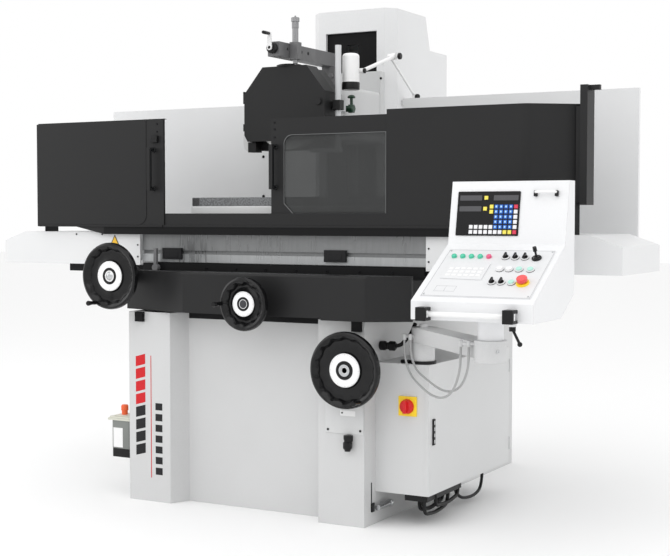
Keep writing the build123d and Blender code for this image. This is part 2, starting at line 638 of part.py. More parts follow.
def elevating_screw():
    with BuildPart() as screw:
        rod("z", (SCREW_X, SCREW_Y), SCREW_R, (SLOT_BOTTOM - 25, SLOT_TOP + 25))
    save("elevating_screw", screw.part)


# ---- head ----
def head_carriage():
    gap = 0.1
    with BuildPart() as carriage:
        block((-HEAD_HALF - 2, HEAD_HALF + 2), (140, COLUMN_FRONT - gap), (HEAD_BOTTOM, CARRIAGE_TOP))
        block((SLOT_LEFT + gap, SLOT_RIGHT - gap), (COLUMN_FRONT - gap, COLUMN_FRONT + 14),
              (HEAD_BOTTOM + 10, CARRIAGE_TOP - 8))
        arm = (SCREW_X - 24, SCREW_X + 24)
        block(arm, (COLUMN_FRONT + 14, SCREW_Y), (1790, 1850))
        rod("z", (SCREW_X, SCREW_Y), 48, (1790, 1850))
        rod("z", (SCREW_X, SCREW_Y), SCREW_R + RUN_FIT, (1780, 1860), Mode.SUBTRACT)
    save("head_carriage", carriage.part)


def hood_outline(inset=0.0, bottom=HOOD_BOTTOM):
    """The wheel hood's eight-sided front view."""
    left, right, top = HOOD_LEFT + inset, HOOD_RIGHT - inset, HOOD_TOP - inset
    shoulder = HOOD_SHOULDER - inset / 2
    outline([(left + 18, bottom), (left, bottom + 30), (left, shoulder), (-HOOD_FLAT + inset / 2, top),
             (HOOD_FLAT - 3 - inset / 2, top), (right, shoulder), (right, bottom)])


MOTOR_R = 92.0
MOTOR_SPAN = (-120.0, 110.0)


def head_housing():
    with BuildPart() as head:
        block((-HEAD_HALF, HEAD_HALF), (HEAD_FRONT, 140), (HEAD_BOTTOM, HEAD_TOP))
        fillet(head.edges().filter_by(Axis.Y), 18)
        with BuildSketch(front_plane(HEAD_FRONT)):
            hood_outline(10, 1602)
        extrude(amount=HEAD_FRONT - HOOD_BACK - SLIDE_GAP)
        for _, strap_low in STRAP_Z:
            lug = (strap_low - 18 - SLIDE_GAP, strap_low - SLIDE_GAP)
            rod("z", (HOOD_LEFT - KNUCKLE_R, HOOD_BACK), KNUCKLE_R - 0.5, lug)
            block((HOOD_LEFT - 2 * KNUCKLE_R, HOOD_LEFT + 11), (HOOD_BACK + SLIDE_GAP, HOOD_BACK + 24), lug)
        rod("y", (0, SPINDLE_Z), SPINDLE_R + RUN_FIT, (HOOD_BACK, MOTOR_SPAN[0]), Mode.SUBTRACT)
        rod("y", (0, SPINDLE_Z), MOTOR_R, (MOTOR_SPAN[0], MOTOR_SPAN[1] + 10), Mode.SUBTRACT)
    save("head_housing", head.part)


def spindle_motor():
    bore = SPINDLE_R + 12
    with BuildPart() as motor:
        rod("y", (0, SPINDLE_Z), MOTOR_R, MOTOR_SPAN)
        rod("y", (0, SPINDLE_Z), bore, MOTOR_SPAN, Mode.SUBTRACT)
    save("spindle_motor", motor.part)


def spindle():
    half = WHEEL_W / 2
    with BuildPart() as shaft:
        rod("y", (0, SPINDLE_Z), SPINDLE_R, (WHEEL_Y + half + 12, MOTOR_SPAN[1]))
        rod("y", (0, SPINDLE_Z), SPINDLE_R + 11.6, (MOTOR_SPAN[0] + 6, MOTOR_SPAN[1] - 6))
        rod("y", (0, SPINDLE_Z), WHEEL_BORE_R, (WHEEL_Y - half, WHEEL_Y + half))
        rod("y", (0, SPINDLE_Z), 85, (WHEEL_Y + half, WHEEL_Y + half + 12))
        rod("y", (0, SPINDLE_Z), 85, (WHEEL_Y - half - 9, WHEEL_Y - half))
        rod("y", (0, SPINDLE_Z), 24, (WHEEL_Y - half - 20, WHEEL_Y - half - 9))
    save("spindle_shaft", shaft.part)
    with BuildPart() as wheel:
        rod("y", (0, SPINDLE_Z), WHEEL_R, (WHEEL_Y - half, WHEEL_Y + half))
        fillet(wheel.edges(), 2)
        rod("y", (0, SPINDLE_Z), WHEEL_BORE_R, (WHEEL_Y - half, WHEEL_Y + half), Mode.SUBTRACT)
    save("grinding_wheel", wheel.part)


STRAP_Z = ((1872.0, 1816.0), (1722.0, 1689.0))
KNUCKLE_R = 7.0


def wheel_guard_door():
    with BuildPart() as hood:
        with BuildSketch(front_plane(HOOD_BACK)):
            hood_outline()
        extrude(amount=HOOD_BACK - HOOD_FRONT)
        with BuildSketch(front_plane(HOOD_BACK)):
            hood_outline(SHEET, HOOD_BOTTOM - 1)
        extrude(amount=HOOD_BACK - HOOD_FRONT - SHEET, mode=Mode.SUBTRACT)
        for z1, z0 in STRAP_Z:
            block((HOOD_LEFT - 6, HOOD_LEFT), (HOOD_FRONT, HOOD_BACK), (z0, z1))
            rod("z", (HOOD_LEFT - KNUCKLE_R, HOOD_BACK), KNUCKLE_R, (z0, z1))
        rod("y", (180, 1813), 15, (HOOD_FRONT - 9, HOOD_FRONT))
    save("wheel_guard_door", hood.part)


# ---- dresser on the hood ----
BRIDGE = (-545.0, 0.0)
BRIDGE_HALF = 30.0
BRIDGE_Z = (2015.0, 2080.0)
DRESSER_X, DRESSER_Y = 50.0, -436.0
CRANK_Z = 2050.0


def dresser_bridge():
    with BuildPart() as bridge:
        block((-BRIDGE_HALF, BRIDGE_HALF), BRIDGE, BRIDGE_Z)
        for step in range(4):
            rod("x", (-470 + step * 62, 2052), 7, (-BRIDGE_HALF - 1, BRIDGE_HALF + 1), Mode.SUBTRACT)
        block((-24, 24), (-58, -8), (HEAD_TOP, BRIDGE_Z[0]))
        rod("y", (0, CRANK_Z), 7 + RUN_FIT, (BRIDGE[0], BRIDGE[0] + 30), Mode.SUBTRACT)
    save("dresser_bridge", bridge.part)


def dresser_slide():
    x0 = BRIDGE_HALF + 0.1
    with BuildPart() as slide:
        block((x0, x0 + 42), (DRESSER_Y - 20, DRESSER_Y + 20), (2006, 2086))
        rod("z", (DRESSER_X, DRESSER_Y), 14, (2086, 2178))
        rod("z", (DRESSER_X, DRESSER_Y), 19, (2178, 2198))
        rod("z", (DRESSER_X, DRESSER_Y), 4, (2198, 2206))
        rod("z", (DRESSER_X, DRESSER_Y), 11, (1990, 2006))
        rod("z", (DRESSER_X, DRESSER_Y), 4, (1983, 1990))
    save("dresser_slide", slide.part)


def dresser_crank():
    face = BRIDGE[0]
    grip_z = CRANK_Z + 62
    with BuildPart() as crank:
        rod("y", (0, CRANK_Z), 7, (face - 40, face + 28))
        rod("y", (0, CRANK_Z), 18, (face - 24, face - SLIDE_GAP))
        block((-9, 9), (face - 38, face - 30), (CRANK_Z - 12, grip_z + 10))
        rod("y", (0, grip_z), 8, (face - 92, face - 38))
    save("dresser_crank", crank.part)


# ---- coolant ----
COOL_X, COOL_Y, COOL_R = 240.0, -376.0, 14.0
COOL_BOTTOM, COOL_TOP = 1584.0, 2068.0
CLAMP_Z = (1776.0, 1820.0)


def coolant_line():
    with BuildPart() as line:
        rod("z", (COOL_X, COOL_Y), COOL_R, (COOL_BOTTOM + 20, COOL_TOP))
        block((COOL_X - 18, COOL_X + 18), (COOL_Y - 20, COOL_Y + 20), CLAMP_Z)
        block((HOOD_RIGHT + 4, COOL_X - COOL_R), (COOL_Y + 16, HOOD_BACK + 25), CLAMP_Z)
        block((HOOD_RIGHT - 10, COOL_X - 18), (HOOD_BACK + 18, HEAD_FRONT), CLAMP_Z)
        with BuildSketch(Plane.XY.offset(COOL_BOTTOM)):
            outline([(COOL_X + 16, COOL_Y - 14), (COOL_X + 16, COOL_Y + 14), (COOL_X - 10, COOL_Y + 16),
                     (120, COOL_Y + 8), (120, COOL_Y - 52), (COOL_X - 10, COOL_Y - 18)])
        extrude(amount=20)
    save("coolant_line", line.part)


# ---- work lamp ----
LAMP_FOOT = (302.0, 300.0, 1885.0)
LAMP_ELBOW = (297.0, 50.0, 2057.0)
LAMP_NECK = (288.0, -262.0, 1960.0)
SHADE_X, SHADE_Y, SHADE_R = 265.0, -302.0, 39.0
SHADE_Z = (1872.0, 2037.0)


def arm_brackets():
    x, y, z = LAMP_FOOT
    with BuildPart() as brackets:
        block((COLUMN_RIGHT, x + 14), (y - 22, y + 22), (z - 40, z - 16))
        rod("z", (x, y), 14, (z - 40, z - 12))
        rod("z", (x, y), 6 + RUN_FIT, (z - 34, z - 12), Mode.SUBTRACT)
        rod("z", (POST_X, POST_Y), POST_R + 6, (CAB_TOP, CAB_TOP + 12))
        rod("z", (POST_X, POST_Y), 30, (CAB_TOP + 12, ARM_BOTTOM - 6))
    save("arm_brackets", brackets.part)


def lamp():
    fx, fy, fz = LAMP_FOOT
    ex, ey, ez = LAMP_ELBOW
    nx, ny, nz = LAMP_NECK
    with BuildPart() as lower:
        rod("z", (fx, fy), 6, (fz - 32, fz))
        rod("z", (fx, fy), 13, (fz - 12 + SLIDE_GAP, fz + 12))
        strut((fx, fy, fz + 4), (ex - 6, ey, ez), 6)
        rod("x", (ey, ez), 14, (ex - 16, ex + 4))
    save("lamp_lower_arm", lower.part)
    with BuildPart() as upper:
        rod("x", (ey, ez), 16, (ex + 4 + SLIDE_GAP, ex + 24))
        rod("x", (ey, ez), 5, (ex + 24, ex + 36))
        strut((ex + 14, ey, ez), (nx + 16, ny, nz), 9)
        rod("x", (ny, nz), 12, (nx + 6, nx + 22))
    save("lamp_upper_arm", upper.part)
    with BuildPart() as shade:
        rod("x", (ny, nz), 12, (nx - 12, nx + 6 - SLIDE_GAP))
        rod("z", (SHADE_X, SHADE_Y), SHADE_R, SHADE_Z)
        fillet(shade.edges().group_by(Axis.Z)[-1], 16)
        rod("z", (SHADE_X, SHADE_Y), SHADE_R - 4, (SHADE_Z[0], SHADE_Z[1] - 45), Mode.SUBTRACT)
        rod("z", (SHADE_X, SHADE_Y), 20, (SHADE_Z[0] + 30, SHADE_Z[1] - 44))
    save("lamp_shade", shade.part)


# ---- pendant ----
GLAND_R = 8.5


def pendant_arm():
    start, end = Vector(POST_X, POST_Y), Vector(SWIVEL_X, SWIVEL_Y)
    way = end - start
    deck = Plane(origin=(POST_X, POST_Y, ARM_BOTTOM), x_dir=(way.X, way.Y, 0), z_dir=(0, 0, 1))
    with BuildPart() as arm:
        with BuildSketch(deck):
            with Locations((way.length / 2, 0)):
                Rectangle(way.length, ARM_W)
            Circle(ARM_W / 2)
        extrude(amount=ARM_TOP - ARM_BOTTOM)
        rod("z", (POST_X, POST_Y), POST_R, (CAB_TOP + 13, ARM_BOTTOM))
        rod("z", (SWIVEL_X, SWIVEL_Y), 60, (761, 843))
        rod("z", (POST_X, POST_Y), 17, (ARM_TOP, ARM_TOP + 13))
        for points in (CORD_A_POINTS, CORD_B_POINTS):
            x, y, z = points[0]
            rod("z", (x, y), GLAND_R, (z, z + 24))
            strut((x, y, z + 12), (SWIVEL_X, SWIVEL_Y, z + 12), 6)
            x, y, z = points[-1]
            rod("z", (x, y), GLAND_R, (z, z + 24))
            strut((x, y, z + 14), (POST_X, POST_Y, z + 14), 6)
        rod("z", (SWIVEL_X, SWIVEL_Y), 40 + RUN_FIT, (771, 850), Mode.SUBTRACT)
        rod("z", (POST_X, POST_Y), 30 + RUN_FIT, (CAB_TOP + 13, ARM_BOTTOM), Mode.SUBTRACT)
    save("pendant_arm", arm.part)


def slope_plane():
    """The sloping control face; its directions are right and up the slope."""
    rise, back = PEND_KNEE - PEND_LIP, KNEE_Y - PEND_FRONT
    tilt = math.atan2(rise, back)
    return Plane(origin=(PEND_LEFT, PEND_FRONT, PEND_LIP), x_dir=(1, 0, 0),
                 z_dir=(0, -math.sin(tilt), math.cos(tilt)))


SLOPE = slope_plane()
OVERLAY = (26.0, 447.0, 31.0, 342.0)

# places on the control face: right and up the slope from its lower left corner
SELECTOR_AT = [(269, 290), (307, 289), (345, 289), (272, 124), (308, 124)]
BUTTON_AT = [(274, 210), (310, 210), (348, 210), (391, 210), (347, 124)]
JOYSTICK_AT = (390, 288)
STOP_AT = (390, 124)


def on_slope(height):
    return SLOPE.offset(height)


def disc(place, radius, low, high, mode=Mode.ADD):
    """A round piece standing on the control face between two heights."""
    with BuildSketch(on_slope(low)) as section:
        with Locations(place):
            Circle(radius)
    extrude(section.sketch, amount=high - low, mode=mode)


def pendant_shell():
    wall = SHEET
    bore = BUTTON_R + 0.1
    with BuildPart() as shell:
        with BuildSketch(side_plane(PEND_LEFT)):
            outline([(PEND_FRONT, PEND_BOTTOM), (PEND_FRONT, PEND_LIP), (KNEE_Y, PEND_KNEE), (HEAD_Y, PEND_TOP),
                     (PEND_BACK, PEND_TOP), (PEND_BACK, PEND_BELLY_Z), (PEND_BELLY_Y, PEND_BOTTOM)])
        extrude(amount=PEND_W)
        fillet(shell.edges().filter_by(Axis.X), 3)
        with BuildSketch(side_plane(PEND_LEFT + wall)):
            outline([(PEND_FRONT + wall, PEND_BOTTOM + wall), (PEND_FRONT + wall, PEND_LIP - wall),
                     (KNEE_Y, PEND_KNEE - wall * 1.3), (HEAD_Y, PEND_TOP - wall),
                     (PEND_BACK - wall, PEND_TOP - wall), (PEND_BACK - wall, PEND_BELLY_Z + wall),
                     (PEND_BELLY_Y - wall, PEND_BOTTOM + wall)])
        extrude(amount=PEND_W - 2 * wall, mode=Mode.SUBTRACT)
        for place in SELECTOR_AT + BUTTON_AT + [STOP_AT]:
            disc(place, bore, -10, 1, Mode.SUBTRACT)
        disc(JOYSTICK_AT, 13, -10, 1, Mode.SUBTRACT)
        rod("z", (SWIVEL_X, SWIVEL_Y), 40, (772, 843 + SLIDE_GAP))
        rod("z", (SWIVEL_X, SWIVEL_Y), SWIVEL_R, (843 + SLIDE_GAP, PEND_BOTTOM))
        bar_y, bar_z = PEND_FRONT - 26, 946
        rod("x", (bar_y, bar_z), 9, (PEND_LEFT + 62, PEND_LEFT + 400))
        for x in (PEND_LEFT + 40, PEND_LEFT + 372):
            block((x, x + 40), (bar_y - 11, PEND_FRONT), (bar_z - 24, bar_z - 12))
            block((x, x + 40), (bar_y - 11, PEND_FRONT), (bar_z + 12, bar_z + 24))
            block((x, x + 40), (bar_y - 22, bar_y - 11), (bar_z - 24, bar_z + 24))
            block((x, x + 40), (bar_y - 12, bar_y + 2), (bar_z - 12, bar_z + 12))
        rod("z", (CLAMP_X, CLAMP_Y), 14, (PEND_BOTTOM - 14, PEND_BOTTOM))
        rod("z", (CLAMP_X, CLAMP_Y), 6 + RUN_FIT, (PEND_BOTTOM - 14, PEND_BOTTOM), Mode.SUBTRACT)
    save("pendant_shell", shell.part)


CLAMP_X, CLAMP_Y = 1452.0, -1318.0


def clamp_lever():
    top = PEND_BOTTOM - 14 - SLIDE_GAP
    with BuildPart() as lever:
        rod("z", (CLAMP_X, CLAMP_Y), 6, (top - 6, PEND_BOTTOM - 1))
        rod("z", (CLAMP_X, CLAMP_Y), 12, (top - 16, top))
        strut((CLAMP_X, CLAMP_Y, top - 8), (CLAMP_X + 30, CLAMP_Y - 8, top - 58), 5)
        with Locations((CLAMP_X + 31, CLAMP_Y - 8, top - 60)):
            Sphere(9)
    save("clamp_lever", lever.part)


def control_overlay():
    x0, x1, v0, v1 = OVERLAY
    with BuildPart() as overlay:
        with BuildSketch(on_slope(0)):
            with Locations(((x0 + x1) / 2, (v0 + v1) / 2)):
                Rectangle(x1 - x0, v1 - v0)
        extrude(amount=PANEL_T)
        for place in SELECTOR_AT + BUTTON_AT:
            disc(place, BEZEL_R, PANEL_T, PANEL_T + 4)
        disc(STOP_AT, 22, PANEL_T, PANEL_T + 6)
        disc(JOYSTICK_AT, 17, PANEL_T, PANEL_T + 4)
        for step in range(5):
            disc((63 + step * 35, 291), 9, PANEL_T, PANEL_T + 9)
        for place in SELECTOR_AT + BUTTON_AT + [STOP_AT]:
            disc(place, BUTTON_R + 0.1, -1, PANEL_T + 8, Mode.SUBTRACT)
        disc(JOYSTICK_AT, JOY_BALL_R + RUN_FIT, -1, PANEL_T + 8, Mode.SUBTRACT)
    save("control_overlay", overlay.part)


JOY_BALL_R = 12.0


def controls():
    rim = PANEL_T + 4
    for number, place in enumerate(BUTTON_AT, 1):
        with BuildPart() as button:
            disc(place, BUTTON_R, -9, rim + BUTTON_TRAVEL + 1)
        save(f"push_button_{number}", button.part)
    for number, place in enumerate(SELECTOR_AT, 1):
        with BuildPart() as selector:
            disc(place, BUTTON_R, -9, rim + 3)
            with BuildSketch(on_slope(rim + 3)):
                with Locations(place):
                    Rectangle(7, 24)
            extrude(amount=11)
        save(f"selector_{number}", selector.part)
    with BuildPart() as stop:
        disc(STOP_AT, BUTTON_R, -9, 16)
        disc(STOP_AT, 20, 16, 30)
        fillet(stop.edges().sort_by(lambda e: SLOPE.to_local_coords(e.center()).Z)[-1], 5)
    save("stop_button", stop.part)
    with BuildPart() as stick:
        with Locations(on_slope(1) * Location((*JOYSTICK_AT, 0))):
            Sphere(JOY_BALL_R)
        disc(JOYSTICK_AT, 4, 6, 46)
        disc(JOYSTICK_AT, 7.5, 36, 52)
    save("joystick", stick.part)


# ---- build ----
base_casting()
base_cover_plate()
front_skirt()
lubricator()
cabinet_shell()
cabinet_backplate()
cabinet_door()
isolator_knob()
route("cabinet_hose", HOSE_POINTS, HOSE_R)
column_casting()
column_way_cover()
elevating_screw()
arm_brackets()
handwheel("elevating_wheel", (ELEV_X, ELEV_Y, ELEV_Z), ELEV_R, 71, -58, BASE_FRONT + SHAFT_SEAT)
handwheel("cross_wheel", (CROSS_X, CROSS_Y, CROSS_Z), CROSS_R, 54, 180, SADDLE_FRONT + SHAFT_SEAT)
handwheel("table_wheel", (LONG_X, LONG_Y, LONG_Z), LONG_R, 68, -118, SADDLE_FRONT - 25)
saddle_casting()
apron()
reversing_lever()
hydraulic_cylinder()
table_casting()
chuck()
table_troughs()
back_panels()
guard_frame()
left_door()
right_door()
head_carriage()
head_housing()
spindle_motor()
spindle()
wheel_guard_door()
dresser_bridge()
dresser_slide()
dresser_crank()
coolant_line()
lamp()
pendant_arm()
pendant_shell()
control_overlay()
controls()
clamp_lever()
route("pendant_cord_a", CORD_A_POINTS, CORD_R)
route("pendant_cord_b", CORD_B_POINTS, CORD_R)
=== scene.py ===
import math

import bmesh
import bpy
from mathutils import Matrix, Vector


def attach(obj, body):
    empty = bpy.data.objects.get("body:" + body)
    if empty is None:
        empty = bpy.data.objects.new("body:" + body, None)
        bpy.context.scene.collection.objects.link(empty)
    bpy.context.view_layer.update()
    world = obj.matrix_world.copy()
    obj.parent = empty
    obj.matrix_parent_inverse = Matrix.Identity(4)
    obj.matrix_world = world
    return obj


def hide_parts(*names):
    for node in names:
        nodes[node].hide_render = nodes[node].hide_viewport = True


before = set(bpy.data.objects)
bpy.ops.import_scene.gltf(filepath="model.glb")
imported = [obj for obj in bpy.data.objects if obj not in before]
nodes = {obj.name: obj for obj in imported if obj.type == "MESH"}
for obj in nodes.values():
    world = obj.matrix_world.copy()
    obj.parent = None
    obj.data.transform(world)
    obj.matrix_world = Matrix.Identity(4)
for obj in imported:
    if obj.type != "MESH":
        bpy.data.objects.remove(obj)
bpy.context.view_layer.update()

# ---- Studio: pale floor, soft lights and the camera ----
# The machine stands on a seamless pale floor under large soft lamps.
# The camera is at eye height, to the right of the machine's front.
FLOOR_SIDE = 60.0
CAMERA_AT = (3.1487, -5.6974, 1.300)
CAMERA_TURN = (90.0 - 2.713, 0.0, 28.8)
CAMERA_LENS = 71.46

scene = bpy.context.scene
scene.view_settings.view_transform = "Standard"
scene.view_settings.look = "None"

floor_mesh = bpy.data.meshes.new("studio_floor")
half = FLOOR_SIDE / 2
floor_mesh.from_pydata([(-half, -half, 0), (half, -half, 0), (half, half, 0), (-half, half, 0)], [], [(0, 1, 2, 3)])
floor = bpy.data.objects.new("studio_floor", floor_mesh)
scene.collection.objects.link(floor)
floor_skin = bpy.data.materials.new("pale_floor")
floor_skin.use_nodes = True
floor_paint = floor_skin.node_tree.nodes["Principled BSDF"]
floor_paint.inputs["Base Color"].default_value = (0.93, 0.93, 0.93, 1)
floor_paint.inputs["Roughness"].default_value = 0.9
floor_mesh.materials.append(floor_skin)

world = bpy.data.worlds.new("studio_air")
world.use_nodes = True
world.node_tree.nodes["Background"].inputs["Color"].default_value = (1.0, 1.0, 1.0, 1)
world.node_tree.nodes["Background"].inputs["Strength"].default_value = 1.0
scene.world = world

SOFT_LAMPS = {
    "lamp_over_front": ((0.5, -4.5, 5.5), (0.0, -0.5, 0.9), 6.0, 105.0),
    "lamp_left": ((-6.0, -3.5, 3.2), (0.0, -0.3, 1.0), 4.0, 60.0),
    "lamp_right": ((6.5, -0.5, 3.5), (0.4, -0.3, 1.0), 4.0, 35.0),
}
for lamp_name, (place, target, side, power) in SOFT_LAMPS.items():
    light = bpy.data.lights.new(lamp_name, "AREA")
    light.shape, light.size, light.energy = "SQUARE", side, power
    lamp = bpy.data.objects.new(lamp_name, light)
    lamp.location = place
    lamp.rotation_euler = (Vector(target) - Vector(place)).to_track_quat("-Z", "Y").to_euler()
    scene.collection.objects.link(lamp)

camera = bpy.data.cameras.new("eye")
camera.lens = CAMERA_LENS
camera.sensor_width = 36.0
eye = bpy.data.objects.new("eye", camera)
eye.location = CAMERA_AT
eye.rotation_euler = [math.radians(a) for a in CAMERA_TURN]
scene.collection.objects.link(eye)
scene.camera = eye


# ---- Pendant leads: two grey control leads ----
# PVC control lead, 9 mm. Each leaves a gland by the pendant's swivel, hangs in front
# of the cabinet and goes up into a gland by the arm's post.
MM = 0.001
LEAD_D = 0.009
LEAD_A = [
    (1230, -1185, 815), (1230, -1185, 779), (1225, -1179, 738), (1207, -1162, 696), (1177, -1133, 660),
    (1135, -1093, 636), (1086, -1047, 624), (1036, -998, 622), (986, -948, 628), (940, -901, 638),
    (895, -856, 648), (853, -815, 660), (820, -781, 678), (795, -757, 706), (782, -745, 744),
    (782, -745, 784),
]
LEAD_B = [
    (1199, -1188, 815), (1199, -1188, 777), (1194, -1182, 732), (1176, -1166, 684), (1146, -1136, 642),
    (1105, -1096, 612), (1055, -1049, 597), (1005, -1001, 595), (956, -953, 602), (909, -907, 614),
    (864, -861, 628), (826, -821, 642), (794, -787, 664), (770, -763, 698), (755, -747, 738),
    (755, -747, 784),
]


def plug(tree, target, sockets):
    """Gives each socket its value or its link."""
    for socket, value in sockets.items():
        if isinstance(value, bpy.types.NodeSocket):
            tree.links.new(value, target.inputs[socket])
        else:
            target.inputs[socket].default_value = value


def node(tree, kind, sockets, **settings):
    """A new node with its settings and sockets; hands back its outputs."""
    made = tree.nodes.new(kind)
    for setting, value in settings.items():
        setattr(made, setting, value)
    plug(tree, made, sockets)
    return made.outputs


def surface_group():
    """A skin's tone, roughness and relief: slow drift, fine grain and rubbed spots."""
    group = bpy.data.node_groups.new("machine_surface", "ShaderNodeTree")
    for name, kind, value in (("Tone", "Color", (0.8, 0.8, 0.8, 1)), ("Worn tone", "Color", (0.5, 0.5, 0.5, 1)),
            ("Roughness", "Float", 0.4), ("Drift", "Float", 0.04), ("Grain", "Float", 0.2),
            ("Grain scale", "Float", 400.0), ("Stretch", "Vector", (1, 1, 1)), ("Wear", "Float", 0.0),):
        socket = group.interface.new_socket(name=name, in_out="INPUT", socket_type="NodeSocket" + kind)
        socket.default_value = value
    for name, kind in (("Color", "Color"), ("Roughness", "Float"), ("Height", "Float")):
        group.interface.new_socket(name=name, in_out="OUTPUT", socket_type="NodeSocket" + kind)
    feed = node(group, "NodeGroupInput", {})
    place = node(group, "ShaderNodeTexCoord", {})["Object"]
    lay = node(group, "ShaderNodeMapping", {"Vector": place, "Scale": feed["Stretch"]})["Vector"]

    def noise(scale, detail, vector):
        return node(group, "ShaderNodeTexNoise", {"Scale": scale, "Detail": detail, "Vector": vector})["Fac"]

    def spread(value, low, high, to_low, to_high):
        return node(group, "ShaderNodeMapRange", {
            "Value": value, "From Min": low, "From Max": high, "To Min": to_low, "To Max": to_high})["Result"]

    def reckon(kind, a, b):
        return node(group, "ShaderNodeMath", {0: a, 1: b}, operation=kind)[0]

    slow, fine, rub = noise(2.2, 3.0, place), noise(feed["Grain scale"], 2.0, lay), noise(14.0, 8.0, place)
    drift = reckon("MULTIPLY", spread(slow, 0.3, 0.7, -1.0, 1.0), feed["Drift"])
    speck = reckon("MULTIPLY", spread(fine, 0.3, 0.7, -0.5, 0.5), feed["Grain"])
    gain = reckon("ADD", reckon("ADD", drift, 1.0), reckon("MULTIPLY", speck, 0.35))
    toned = node(group, "ShaderNodeVectorMath", {0: feed["Tone"], "Scale": gain}, operation="SCALE")[0]
    worn = reckon("MULTIPLY", spread(rub, 0.58, 0.72, 0.0, 1.0), feed["Wear"])
    mix = node(group, "ShaderNodeMix", {"Factor": worn, 6: toned, 7: feed["Worn tone"]}, data_type="RGBA")
    rough = reckon("ADD", feed["Roughness"], reckon("MULTIPLY", speck, 0.5))
    node(group, "NodeGroupOutput", {
        "Color": mix[2], "Roughness": reckon("ADD", rough, reckon("MULTIPLY", drift, 1.2)),
        "Height": reckon("ADD", speck, reckon("MULTIPLY", worn, -0.4))})
    return group


SURFACE = surface_group()


def skin(name, tone, roughness, metal=0.0, drift=0.03, grain=0.2, grain_scale=420.0, stretch=(1, 1, 1),
         wear=0.0, worn=(0.3, 0.3, 0.3), relief=0.12, coat=0.0, edge=0.0, shine=0.5):
    """A finish: the machine surface group behind one Principled shader."""
    made = bpy.data.materials.new(name)
    made.use_nodes = True
    tree = made.node_tree
    face = node(tree, "ShaderNodeGroup", {
        "Tone": (*tone, 1), "Worn tone": (*worn, 1), "Stretch": stretch, "Roughness": roughness, "Drift": drift,
        "Grain": grain, "Grain scale": grain_scale, "Wear": wear}, node_tree=SURFACE)
    relief_of = {"Strength": relief, "Distance": 0.001, "Height": face["Height"]}
    if edge:
        relief_of["Normal"] = node(tree, "ShaderNodeBevel", {"Radius": edge}, samples=4)["Normal"]
    plug(tree, tree.nodes["Principled BSDF"], {
        "Base Color": face["Color"], "Roughness": face["Roughness"],
        "Normal": node(tree, "ShaderNodeBump", relief_of)["Normal"], "Metallic": metal, "Coat Weight": coat,
        "Specular IOR Level": shine, "Coat Roughness": 0.12})
    return made


def lead(name, points, diameter, cover, body, node):
    """A round lead on one smooth line through its route."""
    line = bpy.data.curves.new(name, "CURVE")
    line.dimensions = "3D"
    line.bevel_depth = diameter / 2
    line.bevel_resolution = 5
    line.use_fill_caps = True
    line.resolution_u = 10
    way = line.splines.new("NURBS")
    way.points.add(len(points) - 1)
    for spot, (x, y, z) in zip(way.points, points):
        spot.co = (x * MM, y * MM, z * MM, 1)
    way.order_u = 3
    way.use_endpoint_u = True
    line.materials.append(cover)
    cable = bpy.data.objects.new(name, line)
    scene.collection.objects.link(cable)
    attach(cable, body)
    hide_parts(node)
    return cable


lead_grey = skin("lead_grey_pvc", (0.36, 0.365, 0.365), 0.5, grain=0.3, grain_scale=900.0)
for lead_name, route, real_length in (("pendant_lead_a", LEAD_A, 0.8183), ("pendant_lead_b", LEAD_B, 0.8476)):
    cable = lead(lead_name, route, LEAD_D, lead_grey, "pendant_arm", lead_name.replace("lead", "cord"))

# ---- Cabinet conduit: black hose under the cabinet ----
# Rubber-covered conduit, 14 mm, that leaves the cabinet's floor and comes back into it
# further along, hanging almost to the workshop floor.
CONDUIT_D = 0.014
CONDUIT = [
    (800, -330, 137), (800, -330, 100), (803, -312, 66), (808, -276, 42), (813, -226, 32),
    (816, -168, 29), (815, -112, 33), (810, -62, 42), (803, -26, 66), (799, -8, 100), (799, -8, 137),
]
hose_black = skin("hose_black_rubber", (0.007, 0.007, 0.0075), 0.45, shine=0.25, grain=0.4, grain_scale=700.0)
hose = lead("cabinet_conduit", CONDUIT, CONDUIT_D, hose_black, "machine_base", "cabinet_hose")

# ---- Base casting, cover plate and skirt ----
# Hollow iron casting with light grey enamel over filler. The cover plate is folded
# sheet held by screws, and the black skirt closes the gap under the apron.
enamel = skin("light_grey_enamel", (0.585, 0.588, 0.59), 0.42, drift=0.025, grain=0.22, relief=0.10, edge=0.0035)
sheet_enamel = skin("light_grey_sheet_enamel", (0.615, 0.62, 0.622), 0.36, drift=0.02, grain=0.15, grain_scale=600.0,
    relief=0.06, edge=0.0012)
skirt_black = skin("skirt_black", (0.006, 0.006, 0.0065), 0.5, shine=0.15, grain=0.3, edge=0.002)
screw_black = skin("screw_black_oxide", (0.02, 0.02, 0.022), 0.32, metal=0.85, grain=0.3, grain_scale=1500.0)
decal_red = skin("decal_red", (0.58, 0.015, 0.02), 0.35, shine=0.25, drift=0.02, grain=0.08)
decal_dark = skin("decal_dark_grey", (0.012, 0.012, 0.014), 0.35, shine=0.25, drift=0.02, grain=0.08)
label_white = skin("label_white", (0.82, 0.82, 0.82), 0.35, drift=0.01, grain=0.08)


def coat(finish, *names):
    """Puts a finish on CAD nodes that keep their shape."""
    for name in names:
        for place in nodes[name].material_slots:
            place.material = finish
        if not nodes[name].material_slots:
            nodes[name].data.materials.append(finish)


# Every add_ function draws into this one mesh; piece() ends it and clears it.
shape = bmesh.new()


def add_block(x, y, z, turn=None):
    """A box between two x, two y and two z, in millimetres."""
    corners = [Vector((x[i], y[j], z[k])) for k in (0, 1) for j in (0, 1) for i in (0, 1)]
    if turn:
        corners = [turn @ c for c in corners]
    v = [shape.verts.new(c) for c in corners]
    for face in ((0, 2, 3, 1), (4, 5, 7, 6), (0, 1, 5, 4), (2, 6, 7, 3), (0, 4, 6, 2), (1, 3, 7, 5)):
        shape.faces.new([v[i] for i in face])


